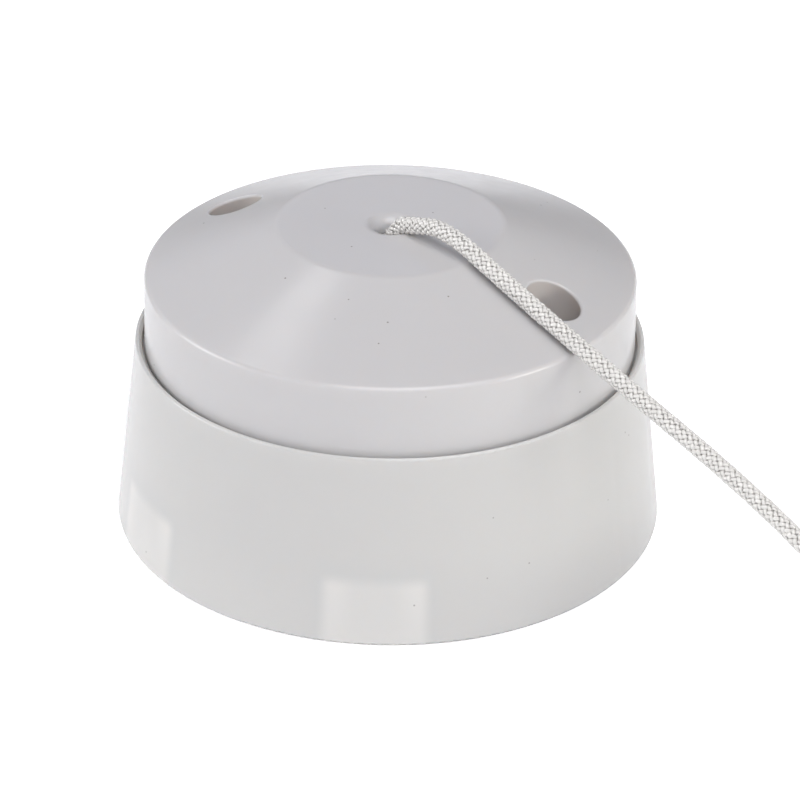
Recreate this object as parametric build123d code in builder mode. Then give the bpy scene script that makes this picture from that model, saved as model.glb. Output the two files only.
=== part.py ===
from build123d import *
import os
from math import asin, atan2, cos, degrees, hypot, pi, radians, sin, tan

# Ceiling pull cord switch: a round two-part moulding that is screwed to a ceiling, with a ratchet switch inside
# that the cord works. Millimetres. It stands on its ceiling face: the origin is the centre of that face, +Z points
# to the cord's outlet, and +X runs through the two cover screws.

os.makedirs("parts", exist_ok=True)

# Mounting block
block_foot_diameter = 76.0
block_rim_diameter = 70.0
wiring_space = 2.6
block_wall = 3.0
block_floor = 2.4
block_rim_radius = 0.35
block_rim_bevel = 0.45
block_foot_radius = 0.4
rebate_depth = 1.5
rim_ledge = 0.9
knockout_width = 16.6
knockout_height = 10.6
knockout_skin = 0.8
knockout_floor_notch = 2.0
knockout_angles = (60, 120, 240, 300)
pillar_radius = 4.6
pillar_web = 2.4
cable_entry_diameter = 20.0
entry_collar_wall = 1.6
entry_collar_height = 1.2
fixing_spacing = 50.8
fixing_slot_width = 4.5
fixing_slot_length = 9.0
fixing_pad_margin = 2.0
fixing_pad_height = 1.0
earth_place = (-14.0, -14.0)
earth_plinth_height = 1.5

# Cover
cover_gap = 0.3
cover_skirt_height = 11.1
cover_skirt_draft = 0.2
cover_cone_rise = 7.1
cover_wall = 2.2
cover_rim_radius = 0.7
cover_foot_chamfer = 0.3
crown_diameter = 31.0
crown_edge_radius = 2.0
cord_hole_diameter = 3.8
cord_hole_flare = 1.8
cord_exit_depth = 1.7
cord_boss_wall = 2.1
screw_spacing = 51.4
recess_diameter = 7.3
recess_edge_radius = 0.3
screw_boss_wall = 1.7
screw_seat_thickness = 3.0
seat_gap = 0.1

# Screws, inserts and pins
cover_screw_diameter = 3.5
cover_screw_length = 14.0
cover_screw_head_diameter = 6.6
cover_screw_head_height = 2.4
small_screw_diameter = 2.0
small_screw_head_diameter = 3.8
small_screw_head_height = 1.5
small_screw_grip = 4.0
screw_slot_width = 0.9
insert_wall = 1.0
insert_length = 9.0
hole_clearance = 0.3
close_clearance = 0.02
running_clearance = 0.05

# Cord, knots and end pull
cord_diameter = 2.4
cord_clearance = 0.2
bend_share = 0.45
knot_diameter = 4.8
coil_mean_diameter = 28.0
coil_columns = 3
coil_layers = 4
tie_width = 4.0
tie_thickness = 0.4
tie_gap = 0.1
tie_angle = 150
end_pull_length = 27.0
end_pull_neck_radius = 3.0
end_pull_belly_radius = 6.8
end_pull_mouth_radius = 5.2
end_pull_wall = 1.4
end_pull_neck_depth = 9.0
end_pull_belly_share = 0.75
end_pull_distance = 26.0
end_pull_lead = 6.0

# Switch action
pull_stroke = 7.0
cam_lobes = 3
nose_radius = 0.5
nose_gap = 0.3
tooth_overlap = 1.5
tooth_depth = 2.8
ratchet_width = 4.0
cam_width = 3.6
cam_valley_radius = 4.6
cam_lift = 1.4
cam_gap = 0.1
rotor_hub_radius = 3.0
axle_diameter = 3.0
rotor_end_gap = 0.15
slider_width = 9.0
slider_depth = 7.6
slider_height = 8.0
slider_tongue_reach = 1.0
slider_tongue_depth = 2.0
rib_thickness = 2.0
slide_gap = 0.3
knot_chamber_depth = 5.2
finger_thickness = 1.0
finger_slot = 0.5
finger_width = 3.6
pawl_height = 5.7
rest_gap = 0.1
spring_length = 14.0
spring_seat_depth = 0.5
spring_diameter = 7.0
spring_wire = 0.7
spring_turns = 5
detent_thickness = 0.3
detent_lug_depth = 2.1
detent_lug_height = 3.2
detent_lug_wall = 0.8
detent_tip_rise = 0.5
detent_tip_lag = 4.0

# Mechanism frame and terminals
frame_drop = 1.5
frame_wall = 2.0
frame_cavity_width = 18.0
frame_flat_length = 10.0
ear_drop = 1.5
ear_radius = 3.3
ear_thickness = 2.0
ear_reach = 3.3
ear_offset = 3.0
plate_thickness = 2.8
post_width = 3.4
post_height = 4.5
terminal_spacing = 10.4
terminal_width = 5.4
terminal_flange_width = 6.6
terminal_flange_height = 0.8
terminal_depth = 6.4
terminal_drop = 6.4
terminal_wire_height = 4.2
terminal_screw_length = 3.2
terminal_barrier = 1.6
terminal_wire_diameter = 3.2
terminal_gap = 0.1
terminal_screw_diameter = 3.5
terminal_screw_head_diameter = 5.4
terminal_screw_head_height = 2.0
blade_width = 5.0
blade_thickness = 0.7
blade_foot_radius = 0.8
blade_foot_rise = 0.35
blade_nib_radius = 0.65
blade_end_margin = 1.9
contact_height = 4.8
tip_radius = 1.5
tip_height = 0.9
tip_dome_radius = 4.0
strip_thickness = 0.8
strip_stud_radius = 1.0
strip_stud_head = 0.4
strip_end_gap = 0.4
contact_gap = 0.08
contact_spring_diameter = 3.2
contact_spring_wire = 0.4
contact_spring_turns = 4
contact_spring_peg_length = 1.2
contact_spring_drop = 3.4

# Heights stack up from the block's floor through the wiring space and the mechanism to the crown
terminal_bottom_z = block_floor + wiring_space + terminal_screw_head_height
plate_bottom_z = terminal_bottom_z + terminal_drop
plate_top_z = plate_bottom_z + plate_thickness
flange_top_z = plate_top_z + terminal_flange_height
slider_bottom_z = plate_top_z + rest_gap
slider_top_z = slider_bottom_z + slider_height
spring_top_z = slider_top_z + spring_length
frame_ceiling_z = spring_top_z - spring_seat_depth
frame_top_z = frame_ceiling_z + frame_wall
ear_top_z = frame_top_z - ear_drop
crown_z = frame_top_z + frame_drop + cover_wall
cover_rim_z = crown_z - cover_cone_rise
cover_seat_z = cover_rim_z - cover_skirt_height
block_height = cover_seat_z + rebate_depth
pillar_top_z = cover_seat_z - seat_gap
screw_seat_z = cover_seat_z + screw_seat_thickness
cord_exit_z = crown_z - cord_exit_depth
terminal_wire_z = terminal_bottom_z + terminal_wire_height

# Radii that follow from the sizes above
block_foot_r = block_foot_diameter / 2
block_rim_r = block_rim_diameter / 2
rebate_r = block_rim_r - rim_ledge
cover_skirt_r = rebate_r - cover_gap
cover_rim_r = cover_skirt_r - cover_skirt_draft
crown_r = crown_diameter / 2
cord_r = cord_diameter / 2
cord_hole_r = cord_hole_diameter / 2
recess_r = recess_diameter / 2
screw_boss_r = recess_r + screw_boss_wall
axle_r = axle_diameter / 2
insert_r = cover_screw_diameter / 2 + insert_wall
screw_places = ((screw_spacing / 2, 0), (-screw_spacing / 2, 0))

# The ratchet turns one step for each pull, and the pawl's nose rises past the rotor's axis on a straight line
ratchet_teeth = 2 * cam_lobes
step_angle = 360 / ratchet_teeth
pawl_arm = pull_stroke / 2 / tan(radians(step_angle / 2))
tooth_tip_r = pawl_arm + tooth_overlap
tooth_root_r = tooth_tip_r - tooth_depth
cam_peak_r = cam_valley_radius + cam_lift
nose_drop = pull_stroke / 2 + nose_radius + nose_gap
nose_z = slider_bottom_z + pawl_height
rotor_z = nose_z + nose_drop
finger_front_y = slider_depth / 2 + finger_slot + finger_thickness
rotor_y = finger_front_y + slide_gap + tooth_tip_r
nose_y = rotor_y - pawl_arm

# The cam tips the contact blade about its foot until the two domed tips meet
blade_x = terminal_spacing / 2
blade_y = rotor_y + cam_valley_radius + cam_gap + blade_nib_radius + blade_thickness / 2
blade_foot_z = flange_top_z + blade_foot_rise
tip_z = rotor_z + contact_height
blade_angle = degrees(asin(cam_lift / (rotor_z - blade_foot_z)))
tip_arm = tip_z - blade_foot_z
tip_reach = blade_thickness / 2 + tip_height
dome_back = tip_dome_radius - tip_reach
closed_reach = (
    tip_dome_radius - dome_back * cos(radians(blade_angle)) + tip_arm * sin(radians(blade_angle))
)
fixed_tip_y = blade_y + closed_reach + contact_gap
fixed_tip_z = blade_foot_z + dome_back * sin(radians(blade_angle)) + tip_arm * cos(radians(blade_angle))
strip_y = fixed_tip_y + tip_height
strip_top_z = tip_z + blade_end_margin

# The mechanism frame is as long as the slider, the rotor and the contacts need
frame_back_y = -slider_depth / 2 - slide_gap
frame_front_y = strip_y + strip_thickness
frame_half = frame_cavity_width / 2
frame_outer_half = frame_half + frame_wall
frame_front_z = strip_top_z + strip_end_gap + frame_wall
ear_x = frame_outer_half + ear_reach
rib_y = -slider_depth / 2 + slider_tongue_depth + slide_gap
post_x = slider_width / 2 + slider_tongue_reach + slide_gap
detent_y = finger_front_y + detent_lug_depth / 2 + slide_gap
contact_spring_z = tip_z - contact_spring_drop
back_post_y = (frame_back_y + rib_y + rib_thickness) / 2
plate_screw_places = (
    ((post_x + frame_half) / 2, back_post_y),
    (-(post_x + frame_half) / 2, back_post_y),
    (0, frame_front_y - post_width / 2),
)


def block_outer_r(z):
    """Radius of the block's tapered outside at a height."""
    return block_foot_r + (block_rim_r - block_foot_r) * z / block_height


def rotor_point(radius, angle):
    """A point round the rotor's axis in the YZ plane: 0 degrees faces the slider, 90 points up."""
    return (rotor_y - radius * cos(radians(angle)), rotor_z + radius * sin(radians(angle)))


def save(builder, name):
    """Names a finished piece and writes it."""
    builder.part.label = name
    export_step(builder.part, f"parts/{name}.step")


# Hollow of the mounting block: a tapered cup less the pillars, webs, pads, collar and plinth that stand in it
with BuildPart() as block_hollow:
    with BuildSketch(Plane.XZ):
        with BuildLine():
            Polyline(
                (0, block_floor),
                (block_outer_r(block_floor) - block_wall, block_floor),
                (block_outer_r(block_height) - block_wall, block_height),
                (0, block_height),
                close=True,
            )
        make_face()
    revolve(axis=Axis.Z)
    with BuildSketch(Plane.XY.offset(block_floor)):
        with Locations(*screw_places):
            Circle(pillar_radius)
        Rectangle(block_foot_diameter, pillar_web)
        Rectangle(screw_spacing, pillar_web + 2 * pillar_radius, mode=Mode.SUBTRACT)
        with Locations(*screw_places):
            Circle(pillar_radius)
    extrude(amount=pillar_top_z - block_floor, mode=Mode.SUBTRACT)
    with BuildSketch(Plane.XY.offset(block_floor)):
        with GridLocations(0, fixing_spacing, 1, 2):
            SlotOverall(
                fixing_slot_length + 2 * fixing_pad_margin,
                fixing_slot_width + 2 * fixing_pad_margin,
                rotation=90,
            )
    extrude(amount=fixing_pad_height, mode=Mode.SUBTRACT)
    with BuildSketch(Plane.XY.offset(block_floor)):
        Circle(cable_entry_diameter / 2 + entry_collar_wall)
    extrude(amount=entry_collar_height, mode=Mode.SUBTRACT)
    with BuildSketch(Plane.XY.offset(block_floor)):
        with Locations(earth_place):
            Rectangle(terminal_depth + entry_collar_wall, terminal_depth + entry_collar_wall)
    extrude(amount=earth_plinth_height, mode=Mode.SUBTRACT)

# Mounting block: tapered outside with a rebated rim, thin knock-outs behind the skin, and the holes in its floor
with BuildPart() as mounting_block:
    with BuildSketch(Plane.XZ) as block_section:
        with BuildLine():
            Polyline(
                (0, 0),
                (block_foot_r, 0),
                (block_rim_r, block_height),
                (rebate_r + block_rim_bevel, block_height),
                (rebate_r, block_height - block_rim_bevel),
                (rebate_r, cover_seat_z),
                (0, cover_seat_z),
                close=True,
            )
        make_face()
        fillet(block_section.vertices().group_by(Axis.Y)[-1].sort_by(Axis.X)[-1], block_rim_radius)
        fillet(block_section.vertices().group_by(Axis.Y)[0].sort_by(Axis.X)[-1], block_foot_radius)
    revolve(axis=Axis.Z)
    add(block_hollow.part, mode=Mode.SUBTRACT)
    knockout_span = degrees(knockout_width / block_foot_r)
    knockout_depth = block_wall - knockout_skin + knockout_floor_notch
    for knockout_angle in knockout_angles:
        first = radians(knockout_angle - knockout_span / 2)
        foot_skin_r = block_outer_r(0) - knockout_skin
        head_skin_r = block_outer_r(knockout_height) - knockout_skin
        with BuildSketch(Plane((0, 0, 0), (cos(first), sin(first), 0), (sin(first), -cos(first), 0))):
            with BuildLine():
                Polyline(
                    (foot_skin_r, 0),
                    (head_skin_r, knockout_height),
                    (head_skin_r - knockout_depth, knockout_height),
                    (foot_skin_r - knockout_depth, 0),
                    close=True,
                )
            make_face()
        revolve(axis=Axis.Z, revolution_arc=knockout_span, mode=Mode.SUBTRACT)
    with BuildSketch(Plane.XY):
        Circle(cable_entry_diameter / 2)
        with GridLocations(0, fixing_spacing, 1, 2):
            SlotOverall(fixing_slot_length, fixing_slot_width, rotation=90)
    extrude(amount=block_floor + entry_collar_height, mode=Mode.SUBTRACT)
    with BuildSketch(Plane.XY.offset(pillar_top_z)):
        with Locations(*screw_places):
            Circle(insert_r + close_clearance)
    extrude(amount=-insert_length, mode=Mode.SUBTRACT)
    with BuildSketch(Plane.XY.offset(pillar_top_z)):
        with Locations(*screw_places):
            Circle(cover_screw_diameter / 2 + hole_clearance)
    extrude(amount=screw_seat_z - cover_screw_length - 2 * hole_clearance - pillar_top_z, mode=Mode.SUBTRACT)
save(mounting_block, "mounting_block")

# Brass inserts in the pillars, which the cover screws turn into
with BuildPart() as block_inserts:
    with BuildSketch(Plane.XY.offset(pillar_top_z)):
        with Locations(*screw_places):
            Circle(insert_r)
            Circle(cover_screw_diameter / 2 + close_clearance, mode=Mode.SUBTRACT)
    extrude(amount=-insert_length)
save(block_inserts, "block_inserts")

# Hollow of the cover: an even wall under the cone and crown, less the bosses that hang from it
cone_angle = atan2(cover_cone_rise, cover_rim_r - crown_r)
inner_rim_r = cover_rim_r - cover_wall
inner_rim_z = crown_z - (inner_rim_r - crown_r) * tan(cone_angle) - cover_wall / cos(cone_angle)
inner_crown_r = crown_r - cover_wall * (1 / cos(cone_angle) - 1) / tan(cone_angle)
with BuildPart() as cover_hollow:
    with BuildSketch(Plane.YZ):
        with BuildLine():
            Polyline(
                (0, cover_seat_z),
                (cover_skirt_r - cover_wall, cover_seat_z),
                (inner_rim_r, inner_rim_z),
                (inner_crown_r, crown_z - cover_wall),
                (0, crown_z - cover_wall),
                close=True,
            )
        make_face()
    revolve(axis=Axis.Z)
    with BuildSketch(Plane.XY.offset(cover_seat_z)):
        with Locations(*screw_places):
            Circle(screw_boss_r)
    extrude(amount=crown_z - cover_seat_z, mode=Mode.SUBTRACT)
    with BuildSketch(Plane.XY.offset(frame_top_z)):
        Circle(cord_hole_r + cord_boss_wall)
    extrude(amount=crown_z - frame_top_z, mode=Mode.SUBTRACT)
    with BuildSketch(Plane.XY.offset(ear_top_z)):
        with Locations((ear_x, ear_offset), (-ear_x, ear_offset)):
            Circle(ear_radius)
    extrude(amount=crown_z - ear_top_z, mode=Mode.SUBTRACT)

# Cover: drafted skirt, cone and flat crown, with a flared cord hole and two deep screw recesses
with BuildPart() as cover:
    with BuildSketch(Plane.YZ) as cover_section:
        with BuildLine():
            Polyline(
                (0, cover_seat_z),
                (cover_skirt_r, cover_seat_z),
                (cover_rim_r, cover_rim_z),
                (crown_r, crown_z),
                (0, crown_z),
                close=True,
            )
        make_face()
        chamfer(cover_section.vertices().sort_by(Axis.X)[-1], cover_foot_chamfer)
        fillet(cover_section.vertices().filter_by_position(Axis.Y, cover_rim_z, cover_rim_z), cover_rim_radius)
        fillet(cover_section.vertices().group_by(Axis.Y)[-1].sort_by(Axis.X)[-1], crown_edge_radius)
    revolve(axis=Axis.Z)
    add(cover_hollow.part, mode=Mode.SUBTRACT)
    with BuildSketch(Plane.XY.offset(screw_seat_z)):
        with Locations(*screw_places):
            Circle(recess_r)
    extrude(amount=crown_z - screw_seat_z, mode=Mode.SUBTRACT)
    recess_mouths = cover.edges().filter_by_position(Axis.Z, cover_rim_z, crown_z).filter_by(
        lambda edge: edge.is_closed and abs(edge.bounding_box().size.X - recess_diameter) < seat_gap
    )
    fillet(recess_mouths, recess_edge_radius)
    with BuildSketch(Plane.XY.offset(cover_seat_z)):
        with Locations(*screw_places):
            Circle(cover_screw_diameter / 2 + hole_clearance)
    extrude(amount=screw_seat_thickness, mode=Mode.SUBTRACT)
    with BuildSketch(Plane.XY.offset(crown_z)):
        Circle(cord_hole_r)
    extrude(amount=frame_top_z - crown_z, mode=Mode.SUBTRACT)
    cord_mouth = cover.edges().filter_by(GeomType.CIRCLE).group_by(Axis.Z)[-1].sort_by(SortBy.RADIUS)[0]
    fillet(cord_mouth, cord_hole_flare)
    with BuildSketch(Plane.XY.offset(ear_top_z)):
        with Locations((ear_x, ear_offset), (-ear_x, ear_offset)):
            Circle(small_screw_diameter / 2 + close_clearance)
    extrude(amount=small_screw_grip, mode=Mode.SUBTRACT)
save(cover, "cover")


def pan_head_screws(places, head_z, length, shank_diameter, head_diameter, head_height, up):
    """Slotted pan-head screws whose heads bear at head_z; up is 1 where the head stands above it, -1 below."""
    with BuildPart() as screws:
        with BuildSketch(Plane.XY.offset(head_z)):
            with Locations(*places):
                Circle(head_diameter / 2)
        extrude(amount=up * head_height)
        head_rims = screws.faces().sort_by(Axis((0, 0, 0), (0, 0, up)))[-len(places) :].edges()
        fillet(head_rims, head_height / 3)
        with BuildSketch(Plane.XY.offset(head_z)):
            with Locations(*places):
                Circle(shank_diameter / 2)
        extrude(amount=-up * length)
        with BuildSketch(Plane.XY.offset(head_z + up * head_height)):
            with Locations(*places):
                Rectangle(head_diameter, screw_slot_width)
        extrude(amount=-up * head_height / 2, mode=Mode.SUBTRACT)
    return screws


# Cover screws, deep in their recesses
cover_screws = pan_head_screws(
    screw_places,
    screw_seat_z,
    cover_screw_length,
    cover_screw_diameter,
    cover_screw_head_diameter,
    cover_screw_head_height,
    1,
)
save(cover_screws, "cover_screws")

# Mechanism frame: a moulded box, open below, with the slider's guides, pin holes and seats for the contacts
frame_slope = atan2(frame_top_z - frame_front_z, frame_front_y + frame_wall - frame_flat_length)
inner_flat_y = frame_flat_length - frame_wall * (1 / cos(frame_slope) - 1) / tan(frame_slope)
inner_front_z = frame_front_z + frame_wall * tan(frame_slope) - frame_wall / cos(frame_slope)
with BuildPart() as mechanism_frame:
    with BuildSketch(Plane.YZ):
        with BuildLine():
            Polyline(
                (frame_back_y - frame_wall, plate_top_z),
                (frame_front_y + frame_wall, plate_top_z),
                (frame_front_y + frame_wall, frame_front_z),
                (frame_flat_length, frame_top_z),
                (frame_back_y - frame_wall, frame_top_z),
                close=True,
            )
        make_face()
    extrude(amount=frame_outer_half, both=True)
    fillet(mechanism_frame.edges().filter_by(Axis.Z), frame_wall / 2)
    with BuildSketch(Plane.YZ):
        with BuildLine():
            Polyline(
                (frame_back_y, plate_top_z),
                (frame_front_y, plate_top_z),
                (frame_front_y, inner_front_z),
                (inner_flat_y, frame_ceiling_z),
                (frame_back_y, frame_ceiling_z),
                close=True,
            )
        make_face()
    extrude(amount=frame_half, both=True, mode=Mode.SUBTRACT)
    with BuildSketch(Plane.XY.offset(plate_top_z)):
        rib_x = slider_width / 2 + slide_gap
        for side in (1, -1):
            with Locations((side * (rib_x + frame_half) / 2, rib_y + rib_thickness / 2)):
                Rectangle(frame_half - rib_x, rib_thickness)
            with Locations((side * (post_x + frame_half) / 2, (frame_back_y + rib_y) / 2)):
                Rectangle(frame_half - post_x, rib_y - frame_back_y)
    extrude(amount=frame_ceiling_z - plate_top_z)
    with BuildSketch(Plane.XY.offset(plate_top_z)):
        with Locations((0, frame_front_y - post_width / 2)):
            Rectangle(post_width, post_width)
    extrude(amount=post_height)
    with BuildSketch(Plane.XY.offset(frame_ceiling_z)):
        with Locations((0, detent_y)):
            Rectangle(finger_width + 2 * detent_lug_wall, detent_lug_depth)
            Rectangle(
                finger_width + 2 * close_clearance,
                detent_thickness + 2 * close_clearance,
                mode=Mode.SUBTRACT,
            )
    extrude(amount=-detent_lug_height)
    with BuildSketch(Plane.XY.offset(ear_top_z)):
        for side in (1, -1):
            with Locations((side * ear_x, ear_offset)):
                Circle(ear_radius)
            with Locations((side * (frame_half + ear_x) / 2, ear_offset)):
                Rectangle(ear_x - frame_half, 2 * ear_radius)
    extrude(amount=-ear_thickness)
    with BuildSketch(Plane.XY.offset(ear_top_z)):
        with Locations((ear_x, ear_offset), (-ear_x, ear_offset)):
            Circle(small_screw_diameter / 2 + hole_clearance)
    extrude(amount=-ear_thickness, mode=Mode.SUBTRACT)
    with BuildSketch(Plane((blade_x, frame_front_y, contact_spring_z), (1, 0, 0), (0, -1, 0))):
        Circle(contact_spring_diameter / 2 - contact_spring_wire - hole_clearance / 2)
    extrude(amount=contact_spring_peg_length)
    with BuildSketch(Plane.XY.offset(frame_ceiling_z)):
        Circle(spring_diameter / 2 + hole_clearance)
    extrude(amount=spring_seat_depth, mode=Mode.SUBTRACT)
    with BuildSketch(Plane.XY.offset(frame_ceiling_z)):
        Circle(cord_hole_r)
    extrude(amount=frame_wall, mode=Mode.SUBTRACT)
    with BuildSketch(Plane.YZ):
        with Locations((rotor_y, rotor_z)):
            Circle(axle_r + close_clearance)
    extrude(amount=frame_outer_half, both=True, mode=Mode.SUBTRACT)
    with BuildSketch(Plane.XY.offset(plate_top_z)):
        with Locations(*plate_screw_places):
            Circle(small_screw_diameter / 2 + close_clearance)
    extrude(amount=small_screw_grip, mode=Mode.SUBTRACT)
save(mechanism_frame, "mechanism_frame")

# Screws that hang the frame under the cover
frame_screws = pan_head_screws(
    ((ear_x, ear_offset), (-ear_x, ear_offset)),
    ear_top_z - ear_thickness,
    ear_thickness + small_screw_grip - hole_clearance,
    small_screw_diameter,
    small_screw_head_diameter,
    small_screw_head_height,
    -1,
)
save(frame_screws, "frame_screws")

# Terminal plate: closes the frame from below, with pockets for the terminals, a barrier and a hole to knot the cord
frame_length = frame_front_y - frame_back_y + 2 * frame_wall
frame_middle_y = (frame_front_y + frame_back_y) / 2
terminal_places = ((blade_x, blade_y), (-blade_x, blade_y))
with BuildPart() as terminal_plate:
    with BuildSketch(Plane.XY.offset(plate_bottom_z)):
        with Locations((0, frame_middle_y)):
            RectangleRounded(2 * frame_outer_half, frame_length, frame_wall / 2)
        with Locations(*terminal_places):
            Rectangle(terminal_width + 2 * terminal_gap, terminal_depth + 2 * terminal_gap, mode=Mode.SUBTRACT)
        with Locations(*plate_screw_places):
            Circle(small_screw_diameter / 2 + hole_clearance, mode=Mode.SUBTRACT)
        Circle(knot_diameter / 2 + cord_clearance, mode=Mode.SUBTRACT)
    extrude(amount=plate_thickness)
    with BuildSketch(Plane.XY.offset(plate_bottom_z)):
        with Locations((0, blade_y - post_width / 2)):
            Rectangle(terminal_barrier, terminal_depth)
    extrude(amount=-terminal_drop)
save(terminal_plate, "terminal_plate")

# Screws that hold the terminal plate to the frame
plate_screws = pan_head_screws(
    plate_screw_places,
    plate_bottom_z,
    plate_thickness + small_screw_grip - hole_clearance,
    small_screw_diameter,
    small_screw_head_diameter,
    small_screw_head_height,
    -1,
)
save(plate_screws, "plate_screws")


def terminal_block(x):
    """A flanged brass terminal that drops into the plate, bored for its wire and its clamping screw."""
    with BuildPart() as block:
        with BuildSketch(Plane.XZ.offset(-blade_y)):
            with Locations((x, (terminal_bottom_z + plate_top_z) / 2)):
                Rectangle(terminal_width, plate_top_z - terminal_bottom_z)
            with Locations((x, (plate_top_z + flange_top_z) / 2)):
                Rectangle(terminal_flange_width, terminal_flange_height)
        extrude(amount=terminal_depth / 2, both=True)
        with BuildSketch(Plane.XZ.offset(-blade_y)):
            with Locations((x, terminal_wire_z)):
                Circle(terminal_wire_diameter / 2)
        extrude(amount=terminal_depth / 2, both=True, mode=Mode.SUBTRACT)
        with BuildSketch(Plane.XY.offset(terminal_bottom_z)):
            with Locations((x, blade_y)):
                Circle(terminal_screw_diameter / 2 + close_clearance)
        extrude(amount=terminal_wire_height, mode=Mode.SUBTRACT)
    return block


# Common terminal, with the groove that the contact blade's foot rocks in
with BuildPart() as common_terminal:
    add(terminal_block(blade_x).part)
    with BuildSketch(Plane.YZ):
        with Locations((blade_y, blade_foot_z)):
            Circle(blade_foot_radius + running_clearance)
    extrude(amount=frame_half, mode=Mode.SUBTRACT)
save(common_terminal, "common_terminal")

# Live terminal, with the stud that the fixed contact is riveted on
with BuildPart() as live_terminal:
    add(terminal_block(-blade_x).part)
    with BuildSketch(Plane.XY.offset(flange_top_z)):
        with Locations((-blade_x, blade_y)):
            Circle(strip_stud_radius)
    extrude(amount=strip_thickness + strip_stud_head)
save(live_terminal, "live_terminal")

# Clamping screws of both terminals
terminal_screws = pan_head_screws(
    terminal_places,
    terminal_bottom_z,
    terminal_screw_length,
    terminal_screw_diameter,
    terminal_screw_head_diameter,
    terminal_screw_head_height,
    -1,
)
save(terminal_screws, "terminal_screws")

# Fixed contact: a folded brass strip from the live terminal up the frame's front wall and across to the blade
strip_half = blade_width / 2
tab_bottom_z = fixed_tip_z - blade_end_margin
with BuildPart() as fixed_contact:
    with BuildSketch(Plane.XZ.offset(-strip_y)):
        with Locations((-blade_x, (flange_top_z + strip_top_z) / 2)):
            Rectangle(blade_width, strip_top_z - flange_top_z)
        with Locations((0, (tab_bottom_z + strip_top_z) / 2)):
            Rectangle(2 * (blade_x + strip_half), strip_top_z - tab_bottom_z)
    extrude(amount=-strip_thickness)
    with BuildSketch(Plane.XY.offset(flange_top_z)):
        with Locations((-blade_x, (blade_y - 2 * strip_stud_radius + strip_y + strip_thickness) / 2)):
            Rectangle(blade_width, strip_y + strip_thickness - blade_y + 2 * strip_stud_radius)
        with Locations((-blade_x, blade_y)):
            Circle(strip_stud_radius + close_clearance, mode=Mode.SUBTRACT)
    extrude(amount=strip_thickness)
save(fixed_contact, "fixed_contact")

# Silver tip of the fixed contact
with BuildPart() as fixed_contact_tip:
    with BuildSketch(Plane((blade_x, strip_y, fixed_tip_z), (1, 0, 0), (0, -1, 0))):
        Circle(tip_radius)
    extrude(amount=tip_height)
    with Locations((blade_x, fixed_tip_y + tip_dome_radius, fixed_tip_z)):
        Sphere(tip_dome_radius, mode=Mode.INTERSECT)
save(fixed_contact_tip, "fixed_contact_tip")

# Contact blade: rocks on its rolled foot, and its nib follows the cam
with BuildPart() as contact_blade:
    with BuildSketch(Plane.YZ.offset(blade_x)):
        with Locations((blade_y, (blade_foot_z + strip_top_z) / 2)):
            Rectangle(blade_thickness, strip_top_z - blade_foot_z)
        with Locations((blade_y, blade_foot_z)):
            Circle(blade_foot_radius)
        with Locations((blade_y - blade_thickness / 2, rotor_z)):
            Circle(blade_nib_radius)
    extrude(amount=blade_width / 2, both=True)
save(contact_blade, "contact_blade")

# Silver tip of the contact blade
with BuildPart() as moving_contact_tip:
    with BuildSketch(Plane((blade_x, blade_y + blade_thickness / 2, tip_z), (1, 0, 0), (0, 1, 0))):
        Circle(tip_radius)
    extrude(amount=tip_height)
    with Locations((blade_x, blade_y + tip_reach - tip_dome_radius, tip_z)):
        Sphere(tip_dome_radius, mode=Mode.INTERSECT)
save(moving_contact_tip, "moving_contact_tip")


def square_wire_spring(start, direction, length, outer_diameter, wire, turns):
    """A compression spring whose wire lies between two planes that are length apart."""
    rise = length - wire
    radius = (outer_diameter - wire) / 2
    with BuildPart() as spring:
        with BuildLine() as spring_line:
            Helix(rise / turns, rise, radius, center=start, direction=direction)
        with BuildSketch(Plane(spring_line.line @ 0, z_dir=spring_line.line % 0)):
            Rectangle(wire, wire)
        sweep(is_frenet=True)
    return spring


# Spring that returns the slider, round the cord
spring_side_gap = close_clearance + spring_wire / 4
return_spring = square_wire_spring(
    (0, 0, slider_top_z + spring_wire / 2 + spring_side_gap),
    (0, 0, 1),
    spring_length - 2 * spring_side_gap,
    spring_diameter,
    spring_wire,
    spring_turns,
)
save(return_spring, "return_spring")

# Spring that keeps the contact blade on the cam, on a peg of the frame's front wall
contact_side_gap = close_clearance + contact_spring_wire / 4
contact_spring_y = blade_y + blade_thickness / 2
contact_spring = square_wire_spring(
    (blade_x, contact_spring_y + contact_spring_wire / 2 + contact_side_gap, contact_spring_z),
    (0, 1, 0),
    frame_front_y - contact_spring_y - 2 * contact_side_gap,
    contact_spring_diameter,
    contact_spring_wire,
    contact_spring_turns,
)
save(contact_spring, "contact_spring")

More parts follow.
